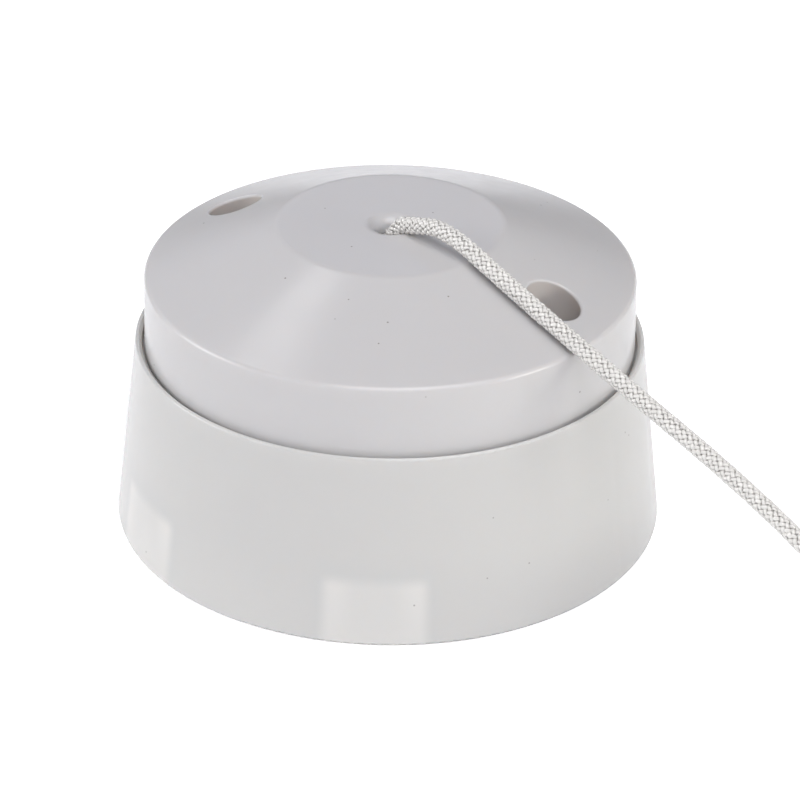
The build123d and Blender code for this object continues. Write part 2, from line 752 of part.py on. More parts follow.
# Pull slider: a guided block that the cord's knot lifts, with the springy finger whose nose drives the ratchet
knot_roof_z = slider_bottom_z + knot_chamber_depth
with BuildPart() as pull_slider:
    with BuildSketch(Plane.XY.offset(slider_bottom_z)):
        Rectangle(slider_width, slider_depth)
        with Locations((0, (slider_tongue_depth - slider_depth) / 2)):
            Rectangle(slider_width + 2 * slider_tongue_reach, slider_tongue_depth)
    extrude(amount=slider_height)
    with BuildSketch(Plane.YZ):
        finger_back_y = slider_depth / 2 + finger_slot
        with Locations(((slider_depth / 2 + finger_front_y) / 2, slider_bottom_z + finger_thickness / 2)):
            Rectangle(finger_front_y - slider_depth / 2, finger_thickness)
        with Locations(((finger_back_y + finger_front_y) / 2, (slider_bottom_z + nose_z) / 2)):
            Rectangle(finger_thickness, nose_z - slider_bottom_z)
        with Locations(((finger_front_y + nose_y) / 2, nose_z - nose_radius / 2)):
            Rectangle(nose_y - finger_front_y, nose_radius)
        with Locations((nose_y, nose_z)):
            Circle(nose_radius)
    extrude(amount=finger_width / 2, both=True)
    with BuildSketch(Plane.XY.offset(slider_bottom_z)):
        Circle(knot_diameter / 2 + cord_clearance)
    extrude(amount=knot_chamber_depth, mode=Mode.SUBTRACT)
    with BuildSketch(Plane.XY.offset(knot_roof_z)):
        Circle(cord_r + cord_clearance)
    extrude(amount=slider_height - knot_chamber_depth, mode=Mode.SUBTRACT)
save(pull_slider, "pull_slider")

# Knot that holds the cord in the slider
with BuildPart() as cord_knot:
    with Locations((0, 0, knot_roof_z - knot_diameter / 2 - rest_gap)):
        Sphere(knot_diameter / 2)
save(cord_knot, "cord_knot")

# Cord inside the switch, from the knot to the outlet
with BuildPart() as cord_tail:
    with BuildSketch(Plane.XY.offset(knot_roof_z)):
        Circle(cord_r)
    extrude(amount=cord_exit_z - knot_roof_z)
save(cord_tail, "cord_tail")

# Rotor: ratchet teeth, a cam with half as many lobes and a long hub, moulded in one
ratchet_outline = []
for tooth in range(ratchet_teeth):
    face_angle = (tooth - 0.5) * step_angle
    ratchet_outline.append(rotor_point(tooth_root_r, face_angle))
    ratchet_outline.append(rotor_point(tooth_tip_r, face_angle))
with BuildPart() as ratchet_cam:
    with BuildSketch(Plane.YZ):
        with BuildLine():
            Polyline(*ratchet_outline, close=True)
        make_face()
    extrude(amount=ratchet_width / 2, both=True)
    with BuildSketch(Plane.YZ.offset(blade_x)):
        with BuildLine():
            for ramp in range(ratchet_teeth):
                falling = ramp % 2 == 0
                start_r = cam_peak_r if falling else cam_valley_radius
                end_r = cam_valley_radius if falling else cam_peak_r
                ramp_angle = 180 - step_angle + ramp * step_angle
                ThreePointArc(
                    rotor_point(start_r, ramp_angle),
                    rotor_point((cam_peak_r + cam_valley_radius) / 2, ramp_angle + step_angle / 2),
                    rotor_point(end_r, ramp_angle + step_angle),
                )
        make_face()
    extrude(amount=cam_width / 2, both=True)
    with BuildSketch(Plane.YZ):
        with Locations((rotor_y, rotor_z)):
            Circle(rotor_hub_radius)
    extrude(amount=frame_half - rotor_end_gap, both=True)
    with BuildSketch(Plane.YZ):
        with Locations((rotor_y, rotor_z)):
            Circle(axle_r + running_clearance)
    extrude(amount=frame_half, both=True, mode=Mode.SUBTRACT)
save(ratchet_cam, "ratchet_cam")

# Steel pin that the rotor turns on
with BuildPart() as rotor_axle:
    with BuildSketch(Plane.YZ):
        with Locations((rotor_y, rotor_z)):
            Circle(axle_r)
    extrude(amount=frame_outer_half, both=True)
    chamfer(rotor_axle.edges().filter_by(GeomType.CIRCLE), hole_clearance)
save(rotor_axle, "rotor_axle")

# Leaf that drops behind a tooth and keeps the rotor from turning back
detent_face_angle = (round(90 / step_angle + 0.5) - 0.5) * step_angle
detent_knee_z = frame_ceiling_z - detent_lug_height - detent_thickness
with BuildPart() as detent_spring:
    with BuildSketch(Plane.YZ):
        with BuildLine():
            Polyline(
                (detent_y, frame_ceiling_z - close_clearance),
                (detent_y, detent_knee_z),
                rotor_point(tooth_root_r + detent_tip_rise, detent_face_angle - detent_tip_lag),
            )
        trace(line_width=detent_thickness)
    extrude(amount=finger_width / 2, both=True)
save(detent_spring, "detent_spring")

# Earth terminal on its plinth in the mounting block
earth_bottom_z = block_floor + earth_plinth_height
earth_top_z = earth_bottom_z + terminal_depth
with BuildPart() as earth_terminal:
    with BuildSketch(Plane.XY.offset(earth_bottom_z)):
        with Locations(earth_place):
            Rectangle(terminal_depth, terminal_depth)
    extrude(amount=terminal_depth)
    with BuildSketch(Plane.YZ.offset(earth_place[0])):
        with Locations((earth_place[1], earth_top_z - terminal_wire_height)):
            Circle(terminal_wire_diameter / 2)
    extrude(amount=terminal_depth / 2, both=True, mode=Mode.SUBTRACT)
    with BuildSketch(Plane.XY.offset(earth_top_z)):
        with Locations(earth_place):
            Circle(terminal_screw_diameter / 2 + close_clearance)
    extrude(amount=-terminal_wire_height, mode=Mode.SUBTRACT)
save(earth_terminal, "earth_terminal")

# Clamping screw of the earth terminal
earth_screw = pan_head_screws(
    (earth_place,),
    earth_top_z,
    terminal_screw_length,
    terminal_screw_diameter,
    terminal_screw_head_diameter,
    terminal_screw_head_height,
    1,
)
save(earth_screw, "earth_screw")


def cord_tube(route):
    """A cord along straight runs and the widest tangent arcs that the runs allow."""
    points = [Vector(*point) for point in route]
    radii = []
    for before, at, after in zip(points, points[1:], points[2:]):
        shorter_run = min((at - before).length, (after - at).length)
        half_turn = radians((at - before).get_angle(after - at)) / 2
        radii.append(bend_share * shorter_run / tan(half_turn))
    with BuildPart() as tube:
        with BuildLine() as tube_line:
            FilletPolyline(*points, radius=radii)
        with BuildSketch(Plane(tube_line.line @ 0, z_dir=tube_line.line % 0)):
            Circle(cord_r)
        sweep()
    length = sum(edge.length for edge in tube_line.edges())
    print("cord run", round(length, 1), "mm, bends", [round(radius, 1) for radius in radii])
    print("volume over section times length", round(tube.part.volume / (pi * cord_r**2 * length), 4))
    return tube


# Free cord: out of the crown, over the cone and the rim, straight on through the air and down to the floor
cord_route = (
    (0.0, 0.0, cord_exit_z),
    (0.0, 0.0, 44.1),
    (1.75, -0.45, 45.9),
    (5.2, -1.35, 45.9),
    (10.4, -2.75, 45.4),
    (16.9, -4.5, 44.7),
    (33.8, -7.3, 37.6),
    (70.5, -13.2, 24.2),
    (85.5, -15.4, 12.2),
    (96.5, -17.0, 4.6),
    (104.5, -18.0, 2.1),
    (110.0, -18.6, 1.75),
)
cord = cord_tube(cord_route)
save(cord, "cord")

# Place of the coil that is put away: turns side by side in layers, entered at its outer, lowest turn
entry_angle = degrees(atan2(cord_route[-1][1] - cord_route[-2][1], cord_route[-1][0] - cord_route[-2][0]))
outer_turn_r = coil_mean_diameter / 2 + (coil_columns - 1) / 2 * cord_diameter
coil_x = cord_route[-1][0] - outer_turn_r * sin(radians(entry_angle))
coil_y = cord_route[-1][1] + outer_turn_r * cos(radians(entry_angle))
coil_bottom_z = tie_thickness + tie_gap
coil_width = coil_columns * cord_diameter
coil_height = coil_layers * cord_diameter
coil_axis = Axis((coil_x, coil_y, 0), (0, 0, 1))
coil_centre = (coil_mean_diameter / 2, coil_bottom_z + coil_height / 2)
leave_angle = entry_angle + 90
leave_x = coil_x + outer_turn_r * cos(radians(entry_angle))
leave_y = coil_y + outer_turn_r * sin(radians(entry_angle))
leave_z = coil_bottom_z + coil_height - cord_r
away_x = cos(radians(leave_angle))
away_y = sin(radians(leave_angle))

# End pull: a hollow bell that lies on its side, touching the floor at its neck and its belly
pull_belly_place = end_pull_length * end_pull_belly_share
pull_tilt = atan2(end_pull_belly_radius - end_pull_neck_radius, pull_belly_place)
pull_neck = Vector(
    leave_x + end_pull_distance * away_x,
    leave_y + end_pull_distance * away_y,
    end_pull_neck_radius * cos(pull_tilt) + rest_gap,
)
pull_direction = Vector(away_x * cos(pull_tilt), away_y * cos(pull_tilt), sin(pull_tilt))
pull_side = Vector(away_y, -away_x, 0)
with BuildPart() as cord_end_pull:
    with BuildSketch(Plane(pull_neck, pull_direction, pull_side)):
        with BuildLine():
            Spline(
                (end_pull_neck_radius, end_pull_neck_radius),
                (pull_belly_place, end_pull_belly_radius),
                (end_pull_length, end_pull_mouth_radius),
                tangents=((1, 0), (0.2, -1)),
            )
            Polyline(
                (end_pull_length, end_pull_mouth_radius),
                (end_pull_length, end_pull_mouth_radius - end_pull_wall),
                (end_pull_neck_depth, knot_diameter / 2 + cord_clearance),
                (end_pull_neck_depth, cord_r + cord_clearance),
                (0, cord_r + cord_clearance),
                (0, end_pull_neck_radius),
                (end_pull_neck_radius, end_pull_neck_radius),
            )
        make_face()
    revolve(axis=Axis(pull_neck, pull_direction))
save(cord_end_pull, "cord_end_pull")

# Knot inside the end pull
with BuildPart() as cord_end_knot:
    with Locations(pull_neck + pull_direction * (end_pull_neck_depth + knot_diameter / 2 + rest_gap)):
        Sphere(knot_diameter / 2)
save(cord_end_knot, "cord_end_knot")

# Last stretch of the cord, from the coil's top turn down into the end pull
near_x = leave_x + end_pull_lead * away_x
near_y = leave_y + end_pull_lead * away_y
half_x = leave_x + end_pull_distance / 2 * away_x
half_y = leave_y + end_pull_distance / 2 * away_y
cord_end_route = (
    (leave_x, leave_y, leave_z),
    (near_x, near_y, leave_z - cord_r / 2),
    (half_x, half_y, (leave_z + cord_r) / 2),
    tuple(pull_neck - pull_direction * end_pull_lead),
    tuple(pull_neck + pull_direction * end_pull_lead / 2),
)
cord_end_run = cord_tube(cord_end_route)
save(cord_end_run, "cord_end_run")

# The coil itself, with the beds of the two ends that run into it
with BuildPart() as cord_coil:
    with BuildSketch(Plane((coil_x, coil_y, 0), (1, 0, 0), (0, -1, 0))):
        with Locations(coil_centre):
            RectangleRounded(coil_width, coil_height, cord_r)
    revolve(axis=coil_axis)
    add(cord.part, mode=Mode.SUBTRACT)
    add(cord_end_run.part, mode=Mode.SUBTRACT)
save(cord_coil, "cord_coil")

# Tie round the coil
tie_inner = (coil_width + 2 * tie_gap, coil_height + 2 * tie_gap)
tie_x = cos(radians(tie_angle))
tie_y = sin(radians(tie_angle))
with BuildPart() as coil_tie:
    with BuildSketch(Plane((coil_x, coil_y, 0), (tie_x, tie_y, 0), (tie_y, -tie_x, 0))):
        with Locations(coil_centre):
            Rectangle(tie_inner[0] + 2 * tie_thickness, tie_inner[1] + 2 * tie_thickness)
            Rectangle(*tie_inner, mode=Mode.SUBTRACT)
    revolve(axis=coil_axis, revolution_arc=degrees(tie_width / (coil_mean_diameter / 2)))
save(coil_tie, "coil_tie")
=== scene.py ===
from math import cos, pi, radians, sin, tau

import bmesh
import bpy
import numpy as np
from mathutils import Matrix, Quaternion, Vector


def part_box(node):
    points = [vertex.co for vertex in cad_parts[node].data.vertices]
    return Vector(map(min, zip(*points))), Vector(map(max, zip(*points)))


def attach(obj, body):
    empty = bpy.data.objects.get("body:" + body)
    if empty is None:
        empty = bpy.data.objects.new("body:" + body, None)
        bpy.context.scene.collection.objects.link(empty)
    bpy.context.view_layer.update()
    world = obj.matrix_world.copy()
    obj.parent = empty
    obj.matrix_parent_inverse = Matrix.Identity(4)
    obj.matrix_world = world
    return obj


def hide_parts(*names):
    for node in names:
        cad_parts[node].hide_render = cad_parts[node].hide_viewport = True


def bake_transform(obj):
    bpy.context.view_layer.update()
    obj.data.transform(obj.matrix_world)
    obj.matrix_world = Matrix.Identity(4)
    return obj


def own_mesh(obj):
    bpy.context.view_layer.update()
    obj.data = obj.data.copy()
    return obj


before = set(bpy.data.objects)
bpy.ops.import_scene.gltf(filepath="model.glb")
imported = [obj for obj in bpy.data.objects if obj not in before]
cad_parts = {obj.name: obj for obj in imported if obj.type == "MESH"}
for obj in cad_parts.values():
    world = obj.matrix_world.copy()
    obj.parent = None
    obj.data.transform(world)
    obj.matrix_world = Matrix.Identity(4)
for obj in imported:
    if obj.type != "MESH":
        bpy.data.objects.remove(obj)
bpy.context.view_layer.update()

# Mounting block: the round tapered pattress that two screws hold against the ceiling.
# It is moulded in white thermoplastic with a smooth, softly shining skin. Four thin knock-outs sit behind
# the skin at its foot; light showing through the thin plastic there is painted on as lighter patches.
MM = 0.001
block_white = (0.601, 0.595, 0.576, 1)
knockout_painted_glow = (0.731, 0.707, 0.671, 1)
speck_brown = (0.16, 0.14, 0.12, 1)
block_roughness = 0.21
noise_middle = 0.5
cloud_scale = 45.0
dust_scale = 300.0
dust_radius = (0.03, 0.052)
dust_share = (0.55, 0.6)
gloss_scale = 220.0
gloss_spread = 0.12
wave_scale = 110.0
wave_strength = 0.12
wave_depth = 0.3 * MM
grain_depth = 0.02 * MM
spread_reach = (1.0, 0.8, 0.65)
spread_depth = 3.0 * MM
knockout_middle = 60
knockout_half_angle = 12.2
knockout_fade_angle = 3.4
knockout_top = 10.4 * MM
knockout_fade_height = 2.4 * MM
knockout_middle_share = 0.62
ridge_angles = (3.5, 8.5)
ridge_foot_share = 0.3


def new_material(name):
    """A material with its tree and its Principled shader."""
    material = bpy.data.materials.new(name)
    material.use_nodes = True
    return material, material.node_tree, material.node_tree.nodes["Principled BSDF"]


def put(tree, kind, settings=(), **inputs):
    """A node with its settings. An input is linked where its value is a socket, and set where it is not."""
    node = tree.nodes.new(kind)
    for setting, value in dict(settings).items():
        setattr(node, setting, value)
    for name, value in inputs.items():
        socket = node.inputs[int(name[1:])] if name[1:].isdigit() else node.inputs[name.replace("_", " ")]
        if isinstance(value, bpy.types.NodeSocket):
            tree.links.new(value, socket)
        else:
            socket.default_value = value
    return node


def math(tree, operation, first, second=0.0, third=0.0):
    """A Math node's result for sockets or plain numbers."""
    return put(tree, "ShaderNodeMath", {"operation": operation}, i0=first, i1=second, i2=third).outputs[0]


def blend_colour(tree, factor, first, second, way="MIX"):
    """A colour between two, by a factor."""
    settings = {"data_type": "RGBA", "blend_type": way}
    return put(tree, "ShaderNodeMix", settings, i0=factor, i6=first, i7=second).outputs[2]


def ramp(tree, value, low, high, low_result=0.0, high_result=1.0):
    """A smooth step from one result to another between two values."""
    settings = {"interpolation_type": "SMOOTHSTEP"}
    return put(
        tree, "ShaderNodeMapRange", settings, Value=value,
        From_Min=low, From_Max=high, To_Min=low_result, To_Max=high_result,
    ).outputs[0]


def new_group(name, inputs, outputs):
    """A shader node group with named sockets, its input node and its output node."""
    group = bpy.data.node_groups.new(name, "ShaderNodeTree")
    kinds = {"colour": "NodeSocketColor", "value": "NodeSocketFloat", "vector": "NodeSocketVector"}
    for socket, kind in inputs.items():
        group.interface.new_socket(socket, in_out="INPUT", socket_type=kinds[kind])
    for socket, kind in outputs.items():
        group.interface.new_socket(socket, in_out="OUTPUT", socket_type=kinds[kind])
    return group, group.nodes.new("NodeGroupInput"), group.nodes.new("NodeGroupOutput")


def use_group(tree, group, **inputs):
    """A group placed in a material with its own values."""
    return put(tree, "ShaderNodeGroup", {"node_tree": group}, **inputs)


def object_place(tree):
    """Object coordinates, in metres."""
    return tree.nodes.new("ShaderNodeTexCoord").outputs["Object"]


def axes_of(tree, place):
    """The X, Y and Z of a place."""
    return put(tree, "ShaderNodeSeparateXYZ", Vector=place).outputs


def noise(tree, place, scale, detail=2.0):
    """Noise between 0 and 1 about the middle value."""
    return put(tree, "ShaderNodeTexNoise", Vector=place, Scale=scale, Detail=detail).outputs[0]


# The skin that every moulded piece has: a cloudy tint, a few dust specks, uneven gloss and a fine grain
moulded_skin, skin_in, skin_out = new_group(
    "moulded_skin",
    {"Colour": "colour", "Cloud": "value", "Specks": "value", "Roughness": "value", "Grain scale": "value"},
    {"Colour": "colour", "Roughness": "value", "Height": "value", "Wave": "value"},
)
skin_place = object_place(moulded_skin)
cloud_noise = noise(moulded_skin, skin_place, cloud_scale, detail=3.0)
cloud_swing = math(moulded_skin, "SUBTRACT", cloud_noise, noise_middle)
cloud_shift = math(moulded_skin, "MULTIPLY", cloud_swing, skin_in.outputs["Cloud"])
cloud_tint = math(moulded_skin, "ADD", cloud_shift, 1.0)
cloudy = blend_colour(moulded_skin, 1.0, skin_in.outputs["Colour"], cloud_tint, "MULTIPLY")
dust = put(moulded_skin, "ShaderNodeTexVoronoi", Vector=skin_place, Scale=dust_scale)
dust_near = ramp(moulded_skin, dust.outputs["Distance"], *dust_radius, 1.0, 0.0)
dust_lot = put(moulded_skin, "ShaderNodeSeparateColor", Color=dust.outputs["Color"]).outputs[0]
dust_kept = math(moulded_skin, "MULTIPLY", dust_near, ramp(moulded_skin, dust_lot, *dust_share))
dust_mask = math(moulded_skin, "MULTIPLY", dust_kept, skin_in.outputs["Specks"])
dusty = blend_colour(moulded_skin, dust_mask, cloudy, speck_brown)
gloss_noise = noise(moulded_skin, skin_place, gloss_scale, detail=3.0)
gloss_swing = math(moulded_skin, "SUBTRACT", gloss_noise, noise_middle)
gloss_shift = math(moulded_skin, "MULTIPLY", gloss_swing, gloss_spread)
skin_roughness = math(moulded_skin, "ADD", skin_in.outputs["Roughness"], gloss_shift)
skin_grain = noise(moulded_skin, skin_place, skin_in.outputs["Grain scale"])
skin_wave = noise(moulded_skin, skin_place, wave_scale)
moulded_skin.links.new(dusty, skin_out.inputs["Colour"])
moulded_skin.links.new(skin_roughness, skin_out.inputs["Roughness"])
moulded_skin.links.new(skin_grain, skin_out.inputs["Height"])
moulded_skin.links.new(skin_wave, skin_out.inputs["Wave"])


def skin_shader(tree, shader, colour, cloud, specks, roughness, grain_scale, grain_strength):
    """Gives a plastic's shader its moulded skin."""
    skin = use_group(
        tree, moulded_skin,
        Colour=colour, Cloud=cloud, Specks=specks, Roughness=roughness, Grain_scale=grain_scale,
    )
    tree.links.new(skin.outputs["Colour"], shader.inputs["Base Color"])
    tree.links.new(skin.outputs["Roughness"], shader.inputs["Roughness"])
    wave = put(
        tree, "ShaderNodeBump", Strength=wave_strength, Distance=wave_depth, Height=skin.outputs["Wave"]
    )
    grain = put(
        tree, "ShaderNodeBump", Strength=grain_strength, Distance=grain_depth,
        Height=skin.outputs["Height"], Normal=wave.outputs[0],
    )
    tree.links.new(grain.outputs[0], shader.inputs["Normal"])


def see_through(shader, weight):
    """Lets light spread a few millimetres inside a plastic, the red furthest."""
    shader.inputs["Subsurface Weight"].default_value = weight
    shader.inputs["Subsurface Radius"].default_value = spread_reach
    shader.inputs["Subsurface Scale"].default_value = spread_depth


def finish_nodes(material, *names):
    """Gives CAD nodes their finish."""
    for name in names:
        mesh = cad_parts[name].data
        mesh.materials.clear()
        mesh.materials.append(material)


block_plastic, tree, shader = new_material("block_plastic")
block_x, block_y, block_z = axes_of(tree, object_place(tree))
# Painted glow: a lighter colour over the four knock-outs stands in for light shining through their thin
# walls
folded_angle = math(tree, "ARCTAN2", math(tree, "ABSOLUTE", block_y), math(tree, "ABSOLUTE", block_x))
from_middle = math(tree, "ABSOLUTE", math(tree, "SUBTRACT", folded_angle, radians(knockout_middle)))
fade_start = radians(knockout_half_angle - knockout_fade_angle)
inside_span = ramp(tree, from_middle, fade_start, radians(knockout_half_angle), 1.0, 0.0)
inside_height = ramp(tree, block_z, knockout_top - knockout_fade_height, knockout_top, 1.0, 0.0)
ridge_start, ridge_end = ridge_angles
beside_middle = ramp(tree, from_middle, radians(ridge_start), radians(ridge_end))
towards_top = ramp(tree, block_z, 0.0, knockout_top, ridge_foot_share, 1.0)
side_ridge = math(tree, "MULTIPLY", beside_middle, towards_top)
ridge_share = math(tree, "MULTIPLY_ADD", side_ridge, 1.0 - knockout_middle_share, knockout_middle_share)
painted_glow_mask = math(tree, "MULTIPLY", math(tree, "MULTIPLY", inside_span, inside_height), ridge_share)
block_white_painted_glow = blend_colour(tree, painted_glow_mask, block_white, knockout_painted_glow)
skin_shader(
    tree, shader, block_white_painted_glow,
    cloud=0.04, specks=0.5, roughness=block_roughness, grain_scale=1500.0, grain_strength=0.1,
)
see_through(shader, weight=0.3)
finish_nodes(block_plastic, "mounting_block")

# Brass: the inserts pressed into the block's pillars, the terminals and the contact carriers.
# They are turned or blanked from drawn brass, so they show fine working lines and a slightly browned bloom.
brass_yellow = (0.70, 0.50, 0.22, 1)
brass_brown = (0.42, 0.28, 0.13, 1)
bloom_scale = 420.0
bloom_range = (0.46, 0.74)
bloom_dulling = 0.15
line_spread = 0.25
line_strength = 0.3
line_depth = 0.02 * MM


def stretched(tree, place, factors):
    """A place with each axis multiplied by its own factor."""
    return put(tree, "ShaderNodeVectorMath", {"operation": "MULTIPLY"}, i0=place, i1=factors).outputs[0]


worked_metal, metal_in, metal_out = new_group(
    "worked_metal",
    {"Colour": "colour", "Tarnish": "colour", "Roughness": "value", "Line stretch": "vector"},
    {"Colour": "colour", "Roughness": "value", "Height": "value"},
)
metal_place = object_place(worked_metal)
lined_place = stretched(worked_metal, metal_place, metal_in.outputs["Line stretch"])
tool_lines = noise(worked_metal, lined_place, 1.0, detail=3.0)
bloom = ramp(worked_metal, noise(worked_metal, metal_place, bloom_scale, detail=4.0), *bloom_range)
bloomed = blend_colour(worked_metal, bloom, metal_in.outputs["Colour"], metal_in.outputs["Tarnish"])
line_swing = math(worked_metal, "SUBTRACT", tool_lines, noise_middle)
line_shift = math(worked_metal, "MULTIPLY", line_swing, line_spread)
lined_roughness = math(worked_metal, "ADD", metal_in.outputs["Roughness"], line_shift)
bloom_shift = math(worked_metal, "MULTIPLY", bloom, bloom_dulling)
metal_roughness = math(worked_metal, "ADD", lined_roughness, bloom_shift)
worked_metal.links.new(bloomed, metal_out.inputs["Colour"])
worked_metal.links.new(metal_roughness, metal_out.inputs["Roughness"])
worked_metal.links.new(tool_lines, metal_out.inputs["Height"])


def metal_finish(name, colour, tarnish, roughness, line_stretch):
    """A metal with its working lines and bloom."""
    material, tree, shader = new_material(name)
    metal = use_group(
        tree, worked_metal, Colour=colour, Tarnish=tarnish, Roughness=roughness, Line_stretch=line_stretch
    )
    shader.inputs["Metallic"].default_value = 1.0
    tree.links.new(metal.outputs["Colour"], shader.inputs["Base Color"])
    tree.links.new(metal.outputs["Roughness"], shader.inputs["Roughness"])
    lines = put(
        tree, "ShaderNodeBump", Strength=line_strength, Distance=line_depth, Height=metal.outputs["Height"]
    )
    tree.links.new(lines.outputs[0], shader.inputs["Normal"])
    return material


drawn_brass = metal_finish(
    "drawn_brass", brass_yellow, brass_brown, roughness=0.3, line_stretch=(300.0, 4000.0, 4000.0)
)
finish_nodes(
    drawn_brass,
    "block_inserts", "earth_terminal", "common_terminal", "live_terminal", "fixed_contact", "contact_blade",
)

# Screws and pin: zinc-plated steel, cold-headed, with a faint uneven plating.
# Two long screws hold the cover from inside its recesses, and the small ones hold the frame, plate and
# wires. The ratchet turns on the pin.
zinc_grey = (0.60, 0.61, 0.63, 1)
zinc_dull = (0.40, 0.40, 0.40, 1)
zinc_plate = metal_finish(
    "zinc_plate", zinc_grey, zinc_dull, roughness=0.34, line_stretch=(900.0, 900.0, 2600.0)
)
finish_nodes(
    zinc_plate,
    "cover_screws", "frame_screws", "plate_screws", "terminal_screws", "earth_screw", "rotor_axle",
)

# Mechanism frame and terminal plate: the two halves of the box that holds the switch action.
# They are moulded in a cream heat-proof resin with a matt, slightly cloudy skin, and hang from the cover
# on screws.
frame_cream = (0.60, 0.57, 0.50, 1)
frame_resin, tree, shader = new_material("frame_resin")
skin_shader(
    tree, shader, frame_cream,
    cloud=0.12, specks=0.6, roughness=0.55, grain_scale=3800.0, grain_strength=0.5,
)
finish_nodes(frame_resin, "mechanism_frame", "terminal_plate")

# Slider and ratchet: the two moving plastics, moulded in natural acetal with a waxy, slightly uneven skin.
# The slider runs in the frame's guides and the ratchet with its cam turns on the steel pin.
acetal_white = (0.66, 0.67, 0.66, 1)
natural_acetal, tree, shader = new_material("natural_acetal")
skin_shader(
    tree, shader, acetal_white,
    cloud=0.06, specks=0.3, roughness=0.35, grain_scale=2600.0, grain_strength=0.2,
)
finish_nodes(natural_acetal, "pull_slider", "ratchet_cam")

# Contact tips: silver-alloy rivets with a slightly domed face, greyed where they have sparked.
# One sits on the rocking blade and the other on the fixed strip.
silver_bright = (0.78, 0.77, 0.74, 1)
silver_grey = (0.36, 0.35, 0.34, 1)
contact_silver = metal_finish(
    "contact_silver", silver_bright, silver_grey, roughness=0.26, line_stretch=(1800.0, 1800.0, 1800.0)
)
finish_nodes(contact_silver, "fixed_contact_tip", "moving_contact_tip")

# Springs: the return spring above the slider, the contact spring behind the blade, and the detent leaf.
# Both coils are wound from round spring-steel wire with their end turns closed, and are squeezed as the
# cord is pulled. The leaf is a bent strip of the same steel.
spring_grey = (0.42, 0.42, 0.43, 1)
spring_dark = (0.22, 0.21, 0.21, 1)
return_turns = 5
return_wire = 0.35 * MM
return_radius = 3.15 * MM
contact_turns = 4
contact_wire = 0.2 * MM
contact_radius = 1.4 * MM
wire_sides = 10
steps_per_turn = 28
weld_distance = 1e-7
spring_steel = metal_finish(
    "spring_steel", spring_grey, spring_dark, roughness=0.3, line_stretch=(1500.0, 1500.0, 6000.0)
)
finish_nodes(spring_steel, "detent_spring")


def keep_mesh(bm, name, material, body):
    """Makes an object of a finished bmesh, smooth all over, that rides on a body."""
    bmesh.ops.remove_doubles(bm, verts=bm.verts, dist=weld_distance)
    bmesh.ops.recalc_face_normals(bm, faces=bm.faces)
    for face in bm.faces:
        face.smooth = True
    mesh = bpy.data.meshes.new(name)
    bm.to_mesh(mesh)
    bm.free()
    mesh.materials.append(material)
    piece = bpy.data.objects.new(name, mesh)
    bpy.context.collection.objects.link(piece)
    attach(piece, body)
    return piece


def wind_spring(bm, radius, wire, height, turns):
    """A compression spring up the Z axis from the origin, with a closed turn at each end."""
    ring = bmesh.ops.create_circle(
        bm, segments=wire_sides, radius=wire, cap_ends=True,
        matrix=Matrix.Translation((radius, 0, wire)) @ Matrix.Rotation(pi / 2, 4, "X"),
    )
    end_face = ring["verts"][0].link_faces[0]
    closed_rise = 2 * wire
    open_turns = turns - 2
    open_rise = height - 2 * wire - 2 * closed_rise
    for stretch_turns, stretch_rise in ((1, closed_rise), (open_turns, open_rise), (1, closed_rise)):
        steps = stretch_turns * steps_per_turn
        spun = bmesh.ops.spin(
            bm, geom=[end_face, *end_face.edges, *end_face.verts], cent=(0, 0, 0), axis=(0, 0, 1),
            dvec=(0, 0, stretch_rise / steps), angle=stretch_turns * tau, steps=steps, use_merge=False,
        )
        end_face = [item for item in spun["geom_last"] if isinstance(item, bmesh.types.BMFace)][0]


spring_low, spring_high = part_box("return_spring")
bm = bmesh.new()
wind_spring(bm, return_radius, return_wire, spring_high.z - spring_low.z, return_turns)
bmesh.ops.translate(bm, verts=bm.verts, vec=(0, 0, spring_low.z))
return_coil = keep_mesh(bm, "return_coil", spring_steel, "housing")
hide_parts("return_spring")
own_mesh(return_coil)

small_low, small_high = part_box("contact_spring")
small_middle = (small_low + small_high) / 2
bm = bmesh.new()
wind_spring(bm, contact_radius, contact_wire, small_high.y - small_low.y, contact_turns)
bmesh.ops.rotate(bm, verts=bm.verts, cent=(0, 0, 0), matrix=Matrix.Rotation(-pi / 2, 3, "X"))
bmesh.ops.translate(bm, verts=bm.verts, vec=(small_middle.x, small_low.y, small_middle.z))
contact_coil = keep_mesh(bm, "contact_coil", spring_steel, "housing")
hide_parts("contact_spring")
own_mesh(contact_coil)

# Cover: the round cap with a short skirt, a low cone and a flat crown with the flared cord hole.
# It is moulded in the same white thermoplastic as the block, with the same smooth skin. Two screws in deep
# recesses draw it down, and the recess walls have a painted shade, warmer and darker than the cover.
cover_white = (0.606, 0.596, 0.592, 1)
recess_painted_shade = (0.585, 0.55, 0.525, 1)
cover_roughness = 0.21
recess_middle = 25.7 * MM
recess_reach = (3.8 * MM, 4.0 * MM)
recess_depth = (0.0, 0.6 * MM)
crown_radius = 15.5 * MM
crown_height = 43.5 * MM
cone_fall = 7.1
cone_run = 18.1
cone_slope = cone_fall / cone_run
cover_plastic, tree, shader = new_material("cover_plastic")
cover_x, cover_y, cover_z = axes_of(tree, object_place(tree))


def distance_from(tree, x, y, middle):
    """Level distance of a place from an upright line that crosses the X axis."""
    across = math(tree, "SUBTRACT", x, middle)
    across_squared = math(tree, "MULTIPLY", across, across)
    squares = math(tree, "ADD", across_squared, math(tree, "MULTIPLY", y, y))
    return math(tree, "SQRT", squares)


